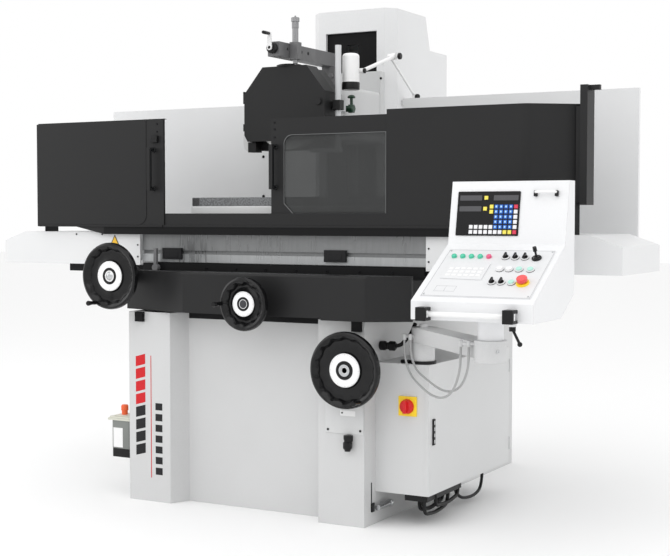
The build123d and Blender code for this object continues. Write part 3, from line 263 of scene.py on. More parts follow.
def aim_frame(centre, way):
    """The place of a turned piece whose axis points along way."""
    return Matrix.Translation(centre) @ Vector(way).to_track_quat("Z", "Y").to_matrix().to_4x4()


def circle(radius, steps):
    """Points around a circle."""
    return [(radius * math.cos(2 * math.pi * k / steps), radius * math.sin(2 * math.pi * k / steps))
            for k in range(steps)]


def join_rings(a, b):
    """Faces between two rings; either may be one point."""
    steps = max(len(a), len(b))
    for k in range(steps if len(a) + len(b) > 2 else 0):
        j = (k + 1) % steps
        if len(a) == 1:
            shape.faces.new((a[0], b[k], b[j]))
        elif len(b) == 1:
            shape.faces.new((a[k], b[0], a[j]))
        else:
            shape.faces.new((a[k], b[k], b[j], a[j]))


def close_ends(first, last):
    """End faces on rings that aren't one point."""
    if len(first) > 1:
        shape.faces.new(first)
    if len(last) > 1:
        shape.faces.new(list(reversed(last)))


def add_turned(centre, way, profile, steps=48, wave=None):
    """A turned piece: profile gives radius and height along the axis; wave may vary a radius."""
    place = aim_frame(centre, way)
    rings = []
    for index, (radius, height) in enumerate(profile):
        if radius < 1e-6:
            rings.append([shape.verts.new(place @ Vector((0, 0, height)))])
            continue
        rings.append([])
        for step in range(steps):
            angle = 2 * math.pi * step / steps
            r = radius + (wave(index, angle) if wave else 0.0)
            rings[-1].append(shape.verts.new(place @ Vector((r * math.cos(angle), r * math.sin(angle), height))))
    for a, b in zip(rings, rings[1:]):
        join_rings(a, b)
    close_ends(rings[0], rings[-1])


def upright(x, y, z):
    """The place of a flat outline that stands up and faces the front."""
    return Matrix.Translation((x, y, z)) @ Matrix.Rotation(math.radians(90), 4, "X")


def add_prism(outline, place, depth):
    """A flat outline pushed back by depth; place turns (u, v, height) into the machine's frame."""
    low = [shape.verts.new(place @ Vector((u, v, 0))) for u, v in outline]
    high = [shape.verts.new(place @ Vector((u, v, depth))) for u, v in outline]
    shape.faces.new(list(reversed(low)))
    shape.faces.new(high)
    for i in range(len(outline)):
        j = (i + 1) % len(outline)
        shape.faces.new((low[i], low[j], high[j], high[i]))


WELD_MM, SHARP_ANGLE, BEVEL_ANGLE = 1e-4, math.radians(32), math.radians(30)


def piece(name, finish, body, stands_for=(), edge=0.0):
    """Ends the working mesh as a piece: metres, clean normals, soft edges, its finish and its body."""
    bmesh.ops.remove_doubles(shape, verts=shape.verts, dist=WELD_MM)
    bmesh.ops.recalc_face_normals(shape, faces=shape.faces)
    bmesh.ops.scale(shape, vec=(MM, MM, MM), verts=shape.verts)
    mesh = bpy.data.meshes.new(name)
    shape.to_mesh(mesh)
    shape.clear()
    mesh.materials.append(finish)
    made = bpy.data.objects.new(name, mesh)
    scene.collection.objects.link(made)
    mesh.polygons.foreach_set("use_smooth", [True] * len(mesh.polygons))
    mesh.set_sharp_from_angle(angle=SHARP_ANGLE)
    if edge:
        bevel = made.modifiers.new("soft_edge", "BEVEL")
        bevel.width, bevel.segments, bevel.limit_method = edge * MM, 2, "ANGLE"
        bevel.angle_limit = BEVEL_ANGLE
    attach(made, body)
    if stands_for:
        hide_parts(*stands_for)
    return made


def repeat_tree(name, inputs, draw):
    """A Geometry Nodes tree that puts one drawn part on every point, in one finish."""
    tree = bpy.data.node_groups.new(name, "GeometryNodeTree")
    tree.interface.new_socket(name="Places", in_out="INPUT", socket_type="NodeSocketGeometry")
    ids = {}
    for title, kind, value in inputs + (("Facing", "NodeSocketVector", (0, -1, 0)),
            ("Finish", "NodeSocketMaterial", None)):
        socket = tree.interface.new_socket(name=title, in_out="INPUT", socket_type=kind)
        if value is not None:
            socket.default_value = value
        ids[title] = socket.identifier
    tree.interface.new_socket(name="Parts", in_out="OUTPUT", socket_type="NodeSocketGeometry")
    feed = node(tree, "NodeGroupInput", {})
    turn = node(tree, "FunctionNodeAlignRotationToVector", {"Vector": feed["Facing"]}, axis="Z")["Rotation"]
    spread = node(tree, "GeometryNodeInstanceOnPoints", {
        "Points": feed["Places"], "Instance": draw(tree, feed), "Rotation": turn})["Instances"]
    real = node(tree, "GeometryNodeRealizeInstances", {"Geometry": spread})["Geometry"]
    dress = node(tree, "GeometryNodeSetMaterial", {"Geometry": real, "Material": feed["Finish"]})["Geometry"]
    node(tree, "NodeGroupOutput", {"Parts": dress})
    return tree, ids


def draw_screw(tree, feed):
    """A cheese head with a round recess."""
    head = node(tree, "GeometryNodeMeshCylinder", {
        "Vertices": 20, "Radius": feed["Head radius"], "Depth": feed["Head height"]})
    rim = node(tree, "GeometryNodeExtrudeMesh", {"Mesh": head["Mesh"], "Selection": head["Top"], "Offset Scale": 0.0})
    shrink = node(tree, "GeometryNodeScaleElements", {
        "Geometry": rim["Mesh"], "Selection": rim["Top"], "Scale": feed["Recess share"]})
    down = node(tree, "ShaderNodeMath", {0: feed["Head height"], 1: -0.45}, operation="MULTIPLY")[0]
    return node(tree, "GeometryNodeExtrudeMesh", {
        "Mesh": shrink["Geometry"], "Selection": rim["Top"], "Offset Scale": down})["Mesh"]


SCREWS = repeat_tree("screw_heads", (("Head radius", "NodeSocketFloat", 0.004),
    ("Head height", "NodeSocketFloat", 0.003), ("Recess share", "NodeSocketFloat", 0.55)), draw_screw)


def repeated(name, tree_and_ids, places, values, finish, facing, body):
    """Runs a repeat tree on places given in millimetres and keeps its plain mesh."""
    tree, ids = tree_and_ids
    points = bpy.data.meshes.new(name + "_places")
    points.from_pydata([[c * MM for c in p] for p in places], [], [])
    holder = bpy.data.objects.new(name + "_holder", points)
    scene.collection.objects.link(holder)
    maker = holder.modifiers.new("repeat", "NODES")
    maker.node_group = tree
    for title, value in values.items():
        maker[ids[title]] = value
    maker[ids["Facing"]] = facing
    maker[ids["Finish"]] = finish
    bpy.context.view_layer.update()
    ready = holder.evaluated_get(bpy.context.evaluated_depsgraph_get())
    mesh = bpy.data.meshes.new_from_object(ready)
    bpy.data.objects.remove(holder)
    mesh.name = name
    made = bpy.data.objects.new(name, mesh)
    scene.collection.objects.link(made)
    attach(made, body)
    return made


def screws(name, places, facing, radius, body, finish=screw_black, height=3.0):
    return repeated(name, SCREWS, places, {"Head radius": radius * MM, "Head height": height * MM,
        "Recess share": 0.55}, finish, facing, body)


FRONT, RIGHT, UP = (0.0, -1.0, 0.0), (1.0, 0.0, 0.0), (0.0, 0.0, 1.0)
BASE_FRONT_Y, PLATE_FRONT_Y = -845.0, -849.0
coat(enamel, "base_casting")
coat(skirt_black, "front_skirt")
COVER_X, COVER_Z = (436.0, 617.0), (388.0, 560.0)
add_block(COVER_X, (PLATE_FRONT_Y, BASE_FRONT_Y), COVER_Z)
piece("cover_plate", sheet_enamel, "machine_base", ("base_cover_plate",), edge=1.5)
screws("cover_plate_screws", [(450, PLATE_FRONT_Y - 1, 402), (603, PLATE_FRONT_Y - 1, 405)], FRONT, 5.0,
       "machine_base")
add_block((508, 579), (PLATE_FRONT_Y - 1.2, PLATE_FRONT_Y), (464, 486))
piece("small_blank_label", label_white, "machine_base", edge=0.5)
screws("label_screw", [(518, PLATE_FRONT_Y - 2, 476)], FRONT, 3.5, "machine_base", height=2.0)

gland_black = skin("gland_black_nylon", (0.007, 0.007, 0.0075), 0.38, shine=0.25, grain=0.2)
add_turned((552, -866, 386), (0, 0, -1), [(0, 0), (17, 0), (17, 16), (14.5, 20), (14.5, 26), (19, 30), (19, 54),
    (13, 62), (13, 67), (0, 67)], 12)
add_block((537, 567), (-868, BASE_FRONT_Y), (358, 384))
piece("base_cable_gland", gland_black, "machine_base", edge=1.0)

# Plain slanted blocks and a thin line stand where the enamel carries print.
STAND = upright(0, BASE_FRONT_Y - 0.1, 0)
for stripe_name, stripe_skin, steps, bars in (
    ("front_stripe_red", decal_red, range(4, 8), [((-472, -468), (108, 664))]),
    ("front_stripe_dark", decal_dark, range(4), [((-446, -408), (124 + 49 * k, 156 + 49 * k)) for k in range(7)]),
):
    for z in [205 + 58 * step for step in steps]:
        add_prism([(-555, z), (-502, z + 14), (-502, z + 60), (-555, z + 46)], STAND, 0.5)
    for x, z in bars:
        add_block(x, (BASE_FRONT_Y - 0.6, BASE_FRONT_Y - 0.1), z)
    piece(stripe_name, stripe_skin, "machine_base")

# A slot and a levelling rod in the base's right side, low down.
add_block((620.0, 621.0), (-785, -777), (92, 180))
add_block((620.0, 626.0), (-786, -762), (55, 92))
piece("base_side_slot", gland_black, "machine_base")
steel_grey = skin("bright_steel", (0.60, 0.61, 0.62), 0.25, metal=1.0, drift=0.05, grain=0.25, grain_scale=900.0,
    edge=0.0008)
add_turned((640, -762, 72), (0, 1, 0), [(0, 0), (13, 0), (13, 108), (16, 110), (16, 122), (0, 122)], 20)
add_block((620, 640), (-700, -690), (60, 84))
piece("base_side_rod", steel_grey, "machine_base")

# ---- Lubricator: translucent oil tank on the base's left side ----
# Moulded tank with a black pump foot, a cream lid and an orange filler cap. It hangs on
# the base by its foot, with a bracket plate above it.
TANK_X, TANK_Y = (-712.0, -600.0), (-830.0, -720.0)
PUMP_Z, TANK_FOOT_Z, TANK_LID_Z = 182.0, 222.0, 352.0
tank_cloudy = skin("oil_tank_plastic", (0.17, 0.18, 0.17), 0.25, drift=0.25, grain=0.1)
lid_cream = skin("oil_tank_lid", (0.62, 0.62, 0.54), 0.4)
cap_orange = skin("filler_cap_orange", (0.80, 0.12, 0.03), 0.4)


def rounded_rect(x, y, radius, steps=5):
    """A rectangle's outline with round corners."""
    spots = []
    for cx, cy, start in ((x[1] - radius, y[1] - radius, 0), (x[0] + radius, y[1] - radius, 90),
            (x[0] + radius, y[0] + radius, 180), (x[1] - radius, y[0] + radius, 270)):
        for k in range(steps + 1):
            angle = math.radians(start + 90 * k / steps)
            spots.append((cx + radius * math.cos(angle), cy + radius * math.sin(angle)))
    return spots


def grow(x, by):
    """A range that is wider at both ends."""
    return (x[0] - by, x[1] + by)


def lifted(height):
    """The place of an outline that lies flat at a height."""
    return Matrix.Translation((0, 0, height))


add_prism(rounded_rect(grow(TANK_X, -1), grow(TANK_Y, -1), 14), lifted(TANK_FOOT_Z), TANK_LID_Z - TANK_FOOT_Z)
piece("lubricator_tank", tank_cloudy, "machine_base", ("lubricator",), edge=1.0)
add_prism(rounded_rect(grow(TANK_X, -3), grow(TANK_Y, -3), 10), lifted(PUMP_Z), TANK_FOOT_Z - PUMP_Z)
add_block((-600, -592), (-810, -740), (222, 322))
piece("lubricator_foot", gland_black, "machine_base", edge=1.5)
for (x, y, corner, low, high) in (((-734, -598), (-834, -716), 12, 352, 361),
        ((-726, -600), (-830, -720), 12, 361, 369), ((-706, -612), (-818, -732), 10, 369, 374)):
    add_prism(rounded_rect(x, y, corner), lifted(low), high - low)
piece("lubricator_lid", lid_cream, "machine_base", edge=1.5)
add_turned((-670, -780, 373.8), UP, [(0, 0), (14, 0), (14, 18), (17, 20), (17, 40), (13, 46), (0, 46)], 24)
piece("lubricator_cap", cap_orange, "machine_base")
add_block((-664, -592), (-744, -740), (374, 534))
piece("lubricator_bracket", sheet_enamel, "machine_base", edge=1.0)
add_block((-698, -645), (-829.9, -828.6), (228, 318))
piece("lubricator_label", label_white, "machine_base")

# ---- Electric cabinet: folded sheet box with a hinged door ----
# Powder-coated sheet on the base's right side. The door hangs at the back on two pins
# and shuts on a rubber seal; the main switch sits on the front face.
coat(sheet_enamel, "cabinet_shell", "cabinet_door")
coat(steel_grey, "cabinet_backplate")
switch_yellow = skin("switch_plate_yellow", (0.93, 0.66, 0.03), 0.35, shine=0.3, drift=0.02, grain=0.08)
switch_red = skin("switch_red", (0.62, 0.008, 0.012), 0.25, drift=0.03, grain=0.06, shine=0.4, edge=0.002)
CAB_FRONT_Y, SWITCH_X, SWITCH_Z = -745.0, 772.0, 508.0
PLATE = 41.0
add_block((SWITCH_X - PLATE, SWITCH_X + PLATE), (CAB_FRONT_Y - 8.25, CAB_FRONT_Y - 0.1),
    (SWITCH_Z - PLATE, SWITCH_Z + PLATE))
piece("switch_yellow_plate", switch_yellow, "machine_base", edge=1.2)
BACK = CAB_FRONT_Y - 8.4
add_turned((SWITCH_X, BACK, SWITCH_Z), FRONT, [(0, 0), (31, 0), (31, 4), (29, 7), (28.5, 15), (26, 17.5), (0, 17.5)],
    40)
add_prism([(-8, -27), (8, -27), (9, 0), (8, 27), (-8, 27), (-9, 0)], upright(SWITCH_X, BACK - 15, SWITCH_Z), 16)
piece("switch_knob", switch_red, "isolator_knob", ("isolator_knob",), edge=1.5)

add_block((872.0, 873.0), (-709, -691), (347, 455))
add_block((866.2, 872.0), (-709.5, -690.5), (346.5, 455.5))
piece("cabinet_latch_strip", gland_black, "cabinet_door", edge=0.8)
for step in range(4):
    z = 354 + step * 26
    add_block((873.0, 873.8), (-704, -696), (z, z + 15))
piece("cabinet_latch_keys", steel_grey, "cabinet_door")


def add_tube(points, radius, steps=16):
    """A round bar bent through points, with flat ends."""
    spots = [Vector(p) for p in points]
    rings, side = [], None
    for i, spot in enumerate(spots):
        ahead = (spots[min(i + 1, len(spots) - 1)] - spots[max(i - 1, 0)]).normalized()
        side = side or ahead.orthogonal().normalized()
        side = (side - ahead * side.dot(ahead)).normalized()
        other = ahead.cross(side)
        rings.append([shape.verts.new(spot + side * u + other * v) for u, v in circle(radius, steps)])
    for a, b in zip(rings, rings[1:]):
        join_rings(a, b)
    close_ends(rings[0], rings[-1])


def rounded(points, radius, steps=6):
    """A polyline in space whose corners are rounded."""
    spots = [Vector(p) for p in points]
    made = [spots[0]]
    for a, b, c in zip(spots, spots[1:], spots[2:]):
        reach = min(radius, (a - b).length * 0.45, (c - b).length * 0.45)
        start, end = b + (a - b).normalized() * reach, b + (c - b).normalized() * reach
        for k in range(steps + 1):
            t = k / steps
            made.append(start * (1 - t) ** 2 + b * 2 * t * (1 - t) + end * t ** 2)
    return made + [spots[-1]]


# Cable tray and its leads below the cabinet's floor.
add_block((640, 752), (-506, -106), (110.5, 136.8))
add_block((752, 856), (-735, -380), (110, 136.8))
piece("cable_tray", gland_black, "machine_base", edge=2.0)
for dx, low, y0, y1 in ((0, 44, -728, -470), (-18, 62, -700, -520), (-40, 52, -690, -430), (16, 70, -650, -400)):
    add_tube(rounded([(838 + dx, y0, 128), (838 + dx, y0 + 6, low + 12), (836 + dx, (y0 + y1) / 2, low),
        (834 + dx, y1 - 14, low + 14), (834 + dx, y1, 128)], 60, 8), 8, 12)
piece("cabinet_lead_loops", hose_black, "machine_base")

# ---- Column, way cover and elevating screw ----
# Box casting in the base's enamel, bevelled at the front. A black sheet covers its ways,
# and the screw that raises the head turns behind it.
column_enamel = skin("column_enamel", (0.72, 0.725, 0.73), 0.42, drift=0.02, grain=0.2, relief=0.1, edge=0.003)
coat(column_enamel, "column_casting")
cover_black = skin("way_cover_black", (0.006, 0.006, 0.0065), 0.55, shine=0.12, grain=0.3)
coat(cover_black, "column_way_cover")
coat(steel_grey, "elevating_screw")

# ---- Handwheels: pressed phenolic wheels on plain shafts ----
# Glossy black moulded wheels, dished, with finger grips inside the rim, a white dial ring
# and a metal hub. Each turns a lead screw and has a turning grip on its rim.
phenolic = skin("phenolic_black", (0.005, 0.005, 0.0055), 0.2, drift=0.05, grain=0.12, relief=0.05, shine=0.3)
dial_white = skin("dial_white", (0.86, 0.86, 0.86), 0.35, drift=0.01, grain=0.08)
hub_steel = skin("hub_steel", (0.52, 0.53, 0.54), 0.22, metal=1.0, drift=0.06, grain=0.2)
SHAFT_R = 15.0


def handwheel(name, body, centre, radius, dial, lobes, grip_deg, shaft_end, hub, cap, core):
    x, y, z = centre
    scallop = {6: 5.0, 7: 6.0, 8: 3.0}

    def finger(index, angle):
        return -scallop.get(index, 0.0) * 0.5 * (1 + math.cos(lobes * angle))

    add_turned((x, y, z), FRONT, [
        (0, 9), (dial * 0.56, 9), (dial * 0.58, 11), (dial, 11), (dial + 5, 3), (radius - 44, -3), (radius - 34, -1),
        (radius - 25, 12), (radius - 20, 20), (radius - 11, 24), (radius - 3, 20), (radius - 0.5, 12),
        (radius - 0.5, 1), (radius - 10, -9), (radius - 30, -12), (dial, -19), (SHAFT_R + 13, -21),
        (SHAFT_R + 13, -37), (0, -37)], 144, finger)
    piece(name + "_rim", phenolic, body, (name,))
    add_turned((x, y, z), FRONT, [(dial * 0.57, 8), (dial - 1, 8), (dial - 1, 13), (dial - 2, 14), (dial * 0.57, 14)],
        72)
    piece(name + "_dial", dial_white, body)
    for step in range(60):
        angle = 2 * math.pi * step / 60
        long = 6.0 if step % 5 == 0 else 3.5
        turn = Matrix.Translation((x, y, z)) @ Matrix.Rotation(angle, 4, "Y")
        add_block((-0.35, 0.35), (-14.25, -13.6), (dial - 2.6 - long, dial - 2.6), turn)
    piece(name + "_dial_lines", decal_dark, body)
    add_turned((x, y, z), FRONT, [(0, 8), (dial * 0.57, 8), (dial * 0.55, 15), (dial * 0.38, 16), (dial * 0.36, 12),
        (0, 12)], 48)
    piece(name + "_hub_ring", phenolic, body)
    add_turned((x, y, z), FRONT, [(r * dial, h) for r, h in cap], 40)
    piece(name + "_hub", hub, body)
    add_turned((x, y, z), FRONT, [(0, 9), (dial * 0.17, 9), (dial * 0.17, core), (0, core)], 32)
    piece(name + "_hub_core", hub_dark, body, edge=0.5)
    turn = math.radians(grip_deg)
    gx, gz = x + (radius - 14) * math.cos(turn), z + (radius - 14) * math.sin(turn)
    add_turned((gx, y - 4, gz), FRONT, [(0, 0), (6, 0), (6, 25), (8.5, 27), (9.5, 36), (8, 52), (9.5, 68), (11.5, 80),
        (10, 84.5), (0, 85.5)], 24)
    piece(name + "_grip", phenolic, body)
    add_turned((x, y + 37, z), (0, 1, 0), [(0, 0), (SHAFT_R, 0), (SHAFT_R, shaft_end - y - 37),
        (0, shaft_end - y - 37)], 32)
    piece(name + "_shaft", steel_grey, body)


DOME = ((0.0, 21.0), (0.12, 20.5), (0.22, 18.0), (0.30, 13.0), (0.33, 10.0), (0.0, 10.0))
NUT = ((0.0, 11.0), (0.19, 11.0), (0.20, 17.0), (0.35, 17.0), (0.37, 14.0), (0.37, 10.0), (0.0, 10.0))
PLAIN = ((0.0, 15.0), (0.30, 15.0), (0.36, 12.0), (0.0, 12.0))
hub_dark = skin("hub_dark_steel", (0.06, 0.06, 0.065), 0.4, metal=0.6, grain=0.4, grain_scale=900.0)
handwheel("elevating_wheel", "elevating_wheel", (576, -925, 665), 160.0, 71.0, 14, -58, -800.0, hub_steel, NUT, 14.0)
handwheel("cross_wheel", "cross_wheel", (125, -985, 926), 115.0, 54.0, 11, 180, -735.0, hub_dark, PLAIN, 16.0)
handwheel("table_wheel", "table_wheel", (-600, -960, 1027), 150.0, 68.0, 14, -118, -805.0, hub_steel, DOME, 12.0)

# ---- Saddle, apron and bed ----
# Iron saddle that slides on the base's rails, painted black; a folded black apron closes
# its front. The bed above carries the table's ways.
apron_black = skin("apron_black_enamel", (0.014, 0.014, 0.0145), 0.42, shine=0.25, drift=0.05, grain=0.25, edge=0.003)
saddle_black = skin("saddle_black_enamel", (0.008, 0.008, 0.0085), 0.5, shine=0.15, drift=0.05, grain=0.3, edge=0.002)
coat(apron_black, "apron")
coat(saddle_black, "saddle_casting")
coat(steel_grey, "hydraulic_cylinder")
lever_grey = skin("lever_grey", (0.16, 0.16, 0.165), 0.45, grain=0.3, edge=0.001)
coat(lever_grey, "reversing_lever")
screws("saddle_strip_screws", [(x, -674, 1056) for x in range(-281, 662, 157)], FRONT, 5.0, "saddle",
       height=5.0)

# ---- Table and magnetic chuck ----
# Ground iron table with a T-slot along its front for the reversing dogs. The chuck is a
# painted body with a ground steel top whose poles are parted by thin brass strips.
table_grey = skin("table_ground_iron", (0.235, 0.24, 0.243), 0.42, metal=0.4, drift=0.2, grain=0.55, grain_scale=60.0,
    stretch=(1.0, 1, 0.12), relief=0.05, edge=0.0015)
coat(table_grey, "table_casting")
strip_bright = skin("table_strip_bright", (0.42, 0.43, 0.435), 0.38, metal=0.5, drift=0.2, grain=0.5,
    grain_scale=60.0, stretch=(1.0, 1, 0.12), relief=0.05)
add_block((-650.5, 820.5), (-661.2, -660), (1083, 1119))
piece("table_lower_strip", strip_bright, "table", edge=0.4)
dog_black = skin("dog_black", (0.010, 0.010, 0.011), 0.45, shine=0.25, grain=0.4, edge=0.001)
for x in (-474, 385):
    add_block((x - 53, x + 53), (-675, -660.2), (1096, 1148))
    add_block((x - 34, x + 34), (-676.2, -675), (1104, 1134))
piece("reversing_dogs", dog_black, "table", edge=2.0)
chuck_grey = skin("chuck_body_enamel", (0.66, 0.665, 0.665), 0.4, drift=0.05, grain=0.3, edge=0.001)
chuck_face = skin("chuck_ground_steel", (0.17, 0.175, 0.18), 0.36, metal=0.5, drift=0.15, grain=1.4,
    grain_scale=120.0, stretch=(1, 0.5, 1), wear=0.5, worn=(0.07, 0.07, 0.07))
coat(chuck_grey, "chuck_body")
coat(chuck_face, "chuck_plate")
POLE_PITCH, CHUCK_TOP_Z = 16, 1380.0
brass = skin("pole_brass", (0.60, 0.42, 0.16), 0.35, metal=1.0, drift=0.05, grain=0.3)


def draw_bar(tree, feed):
    """A plain bar."""
    return node(tree, "GeometryNodeMeshCube", {"Size": feed["Bar size"]})["Mesh"]


BARS = repeat_tree("repeated_bars", (("Bar size", "NodeSocketVector", (0.002, 0.1, 0.001)),), draw_bar)
repeated("chuck_pole_strips", BARS, [(-400 + POLE_PITCH * k, -400, CHUCK_TOP_Z) for k in range(61)],
         {"Bar size": (0.0025, 0.36, 0.0003)}, brass, UP, "table")
dark_steel = skin("chuck_edge_dark", (0.06, 0.06, 0.062), 0.4, metal=0.5, drift=0.2, grain=0.6, grain_scale=300.0)
add_block((-411.6, -372), (-596.6, -595.4), (1343, 1377))
piece("chuck_switch_block", dark_steel, "table", edge=0.5)

# ---- Splash troughs and back panels ----
# Folded sheet in the machine's enamel, bolted to the bed's ends. The troughs catch the
# coolant and the panels behind stop its spray.
panel_enamel = skin("splash_panel_enamel", (0.72, 0.725, 0.73), 0.36, drift=0.02, grain=0.15, grain_scale=600.0,
    relief=0.06, edge=0.0012)
coat(panel_enamel, "table_troughs", "back_panels")
screws("trough_screws", [(-664, -681, 1160), (-664, -681, 1105), (834, -681, 1160), (834, -681, 1105),
    (-1030, -681, 1208), (-874, -681, 1208)], FRONT, 4.0, "saddle")
screws("panel_screws", [(x, -1, z) for x in (-393, 432) for z in (1250, 1394, 1592, 1780)], FRONT, 7.0, "saddle",
    height=4.0)
sign_yellow = skin("sign_yellow", (0.86, 0.50, 0.02), 0.4, drift=0.03, grain=0.08)
STAND = upright(-799, -680, 1153)
add_prism([(-29, 0), (29, 0), (0, 55)], STAND, 0.6)
piece("plain_triangle_edge", decal_dark, "saddle")
add_prism([(-22, 4), (22, 4), (0, 46)], STAND, 1.1)
piece("plain_triangle", sign_yellow, "saddle")

# ---- Front guard and its two sliding doors ----
# Black powder-coated sheet around the table, carried by the saddle. The doors run on
# rails; the right one has a smoked pane in a rubber edge, light grey as a painted highlight, and both have pull
# handles.
guard_black = skin("guard_black_powder", (0.016, 0.016, 0.0165), 0.46, shine=0.22, drift=0.03, grain=0.3,
    grain_scale=700.0, relief=0.08, edge=0.0015)
coat(guard_black, "guard_frame", "left_door", "right_door")
# Painted shade: a thin sheet, blacker than the guard's own black, along the guard's lower band, which faces down and
# falls darker.
guard_band_painted_shade = skin("guard_band_painted_shade", (0.006, 0.006, 0.0065), 0.5, shine=0.15, grain=0.2)
add_block((-846, 1250), (-703.4, -702.9), (1210, 1243))
piece("guard_lower_band_painted_shade", guard_band_painted_shade, "saddle")
HANDLE_Z, HANDLE_REACH, HANDLE_R = (1421, 1599), 34.5, 9.6
handle_black = skin("handle_black", (0.004, 0.005, 0.006), 0.2, drift=0.05, grain=0.1, shine=0.35)
for handle_name, body, x, face in (("left_door_handle", "left_door", -548, -709),
        ("right_door_handle", "right_door", 102, -696)):
    out = face - HANDLE_REACH
    add_tube(rounded([(x, face - 0.4, HANDLE_Z[0]), (x, out, HANDLE_Z[0]), (x, out, HANDLE_Z[1]),
        (x, face - 0.4, HANDLE_Z[1])], 22, 8), HANDLE_R, 20)
    for z in HANDLE_Z:
        add_turned((x, face - 0.3, z), FRONT, [(0, 0), (12, 0), (12, 4), (10, 6), (0, 6)], 24)
    piece(handle_name, handle_black, body)
screws("left_door_screws", [(-528, -710, z) for z in (1718, 1682)], FRONT, 4.0, "left_door")
add_block((-556, -520), (-724, -709.2), (1632, 1664))
piece("left_door_catch", gland_black, "left_door", edge=2.0)
STAND = upright(0, -709.1, 0)
SKIN_X, SKIN_Z, SKIN_CORNER = (-1246.5, -590.0), (1253.5, 1737.5), 50.0
turn_x, turn_z = SKIN_X[1] - SKIN_CORNER, SKIN_Z[0] + SKIN_CORNER
skin_edge = [(SKIN_X[0], SKIN_Z[0]), (turn_x, SKIN_Z[0])]
skin_edge += [(turn_x + SKIN_CORNER * math.sin(math.radians(a)),
    turn_z - SKIN_CORNER * math.cos(math.radians(a))) for a in range(0, 91, 9)]
skin_edge += [(SKIN_X[1], SKIN_Z[1]), (SKIN_X[0], SKIN_Z[1])]
add_prism(skin_edge, STAND, 2.0)
piece("left_door_skin", guard_black, "left_door", edge=0.8)
screws("right_door_screws", [(97, -697, z) for z in (1704, 1675, 1640)], FRONT, 4.5, "right_door")

GLASS_X, GLASS_Z, PANE_Y = (145.0, 643.0), (1304.0, 1649.0), -696.0
CORNER, CUT = 40.0, 46.0


def pane_outline(inset):
    """The window's outline: a round upper left corner and a cut lower left corner."""
    x0, x1, z0, z1 = GLASS_X[0] + inset, GLASS_X[1] - inset, GLASS_Z[0] + inset, GLASS_Z[1] - inset
    spots = [(x0 + CUT, z0), (x1, z0), (x1, z1), (x0 + CORNER, z1)]
    for k in range(1, 9):
        angle = math.radians(90 + 90 * k / 8)
        spots.append((x0 + CORNER + CORNER * math.cos(angle), z1 - CORNER + CORNER * math.sin(angle)))
    spots.append((x0, z0 + CUT))
    return spots


pane = bpy.data.materials.new("smoked_pane")
pane.use_nodes = True
tint = node(pane.node_tree, "ShaderNodeGroup", {
    "Tone": (0.115, 0.118, 0.118, 1), "Drift": 0.12, "Grain": 0.05, "Roughness": 0.06}, node_tree=SURFACE)
plug(pane.node_tree, pane.node_tree.nodes["Principled BSDF"], {
    "Base Color": tint["Color"], "Roughness": 0.05, "Transmission Weight": 0.6, "IOR": 1.15})
coat(pane, "door_glass")

# Painted highlight: the pane's edge ring is light grey to stand for the bright line of light along the glass's edge.
edge_highlight_grey = skin("window_edge_painted_highlight", (0.15, 0.155, 0.155), 0.35, grain=0.1)
STAND = upright(0, PANE_Y - 0.2, 0)
outer, inner = pane_outline(-0.6), pane_outline(1.4)
count = len(outer)
for height in (0.0, 1.2):
    for ring in (outer, inner):
        for u, v in ring:
            shape.verts.new(STAND @ Vector((u, v, height)))
shape.verts.ensure_lookup_table()
for i in range(count):
    j = (i + 1) % count
    a, b, c, d = (shape.verts[k * count + i] for k in range(4))
    a2, b2, c2, d2 = (shape.verts[k * count + j] for k in range(4))
    for quad in ((a, a2, c2, c), (b, d, d2, b2), (a, b, b2, a2), (c, c2, d2, d)):
        shape.faces.new(quad)
piece("window_edge", edge_highlight_grey, "right_door")

# ---- Grinding head, hood and wheel ----
# The head housing slides on the column and carries the motor spindle. A black sheet hood
# with a hinged front covers the white abrasive wheel.
head_paint = skin("head_light_enamel", (0.60, 0.605, 0.607), 0.42, drift=0.03, grain=0.22, edge=0.002)
coat(head_paint, "head_carriage")
housing_paint = skin("housing_two_tone", (0.60, 0.605, 0.607), 0.42, drift=0.03, grain=0.22, shine=0.3, edge=0.002)
HOOD_BACK_Y = -0.269
tree = housing_paint.node_tree
spot = node(tree, "ShaderNodeTexCoord", {})["Object"]
ahead = node(tree, "ShaderNodeMath", {0: node(tree, "ShaderNodeSeparateXYZ", {0: spot})["Y"], 1: HOOD_BACK_Y},
    operation="LESS_THAN")[0]
light_face = next(face for face in tree.nodes if face.type == "GROUP").outputs["Color"]
mix = node(tree, "ShaderNodeMix", {"Factor": ahead, 6: light_face, 7: (0.014, 0.014, 0.0145, 1)}, data_type="RGBA")
plug(tree, tree.nodes["Principled BSDF"], {"Base Color": mix[2]})
coat(housing_paint, "head_housing")
coat(guard_black, "wheel_guard_door")
motor_grey = skin("motor_grey", (0.25, 0.26, 0.27), 0.5, metal=0.4)
coat(motor_grey, "spindle_motor")
coat(steel_grey, "spindle_shaft")
abrasive = skin("abrasive_white", (0.80, 0.80, 0.78), 0.9, drift=0.03, grain=0.9, grain_scale=1100.0, relief=0.5)
coat(abrasive, "grinding_wheel")
screws("carriage_screws", [(196, 139, 1967)], FRONT, 6.0, "head", height=4.0)
add_block((-215, -170), (-425, -372), (1592, 1639))
piece("coolant_deflector", gland_black, "head", edge=2.0)
flap = [(-285, 1640), (-284, 1680), (-272, 1697), (-250, 1700), (-228, 1700), (-228, 1600), (-262, 1600),
        (-278, 1612)]
add_prism(flap, upright(0, -352, 0), 3)
add_block((-232, -208), (-352, -349), (1604, 1696))
piece("wheel_splash_flap", head_paint, "head", edge=0.8)
add_turned((0, -400, 1979.4), UP, [(0, 0), (62, 0), (62, 7), (52, 11), (30, 13), (0, 13)], 40)
piece("hood_top_flange", gland_black, "wheel_guard_door")

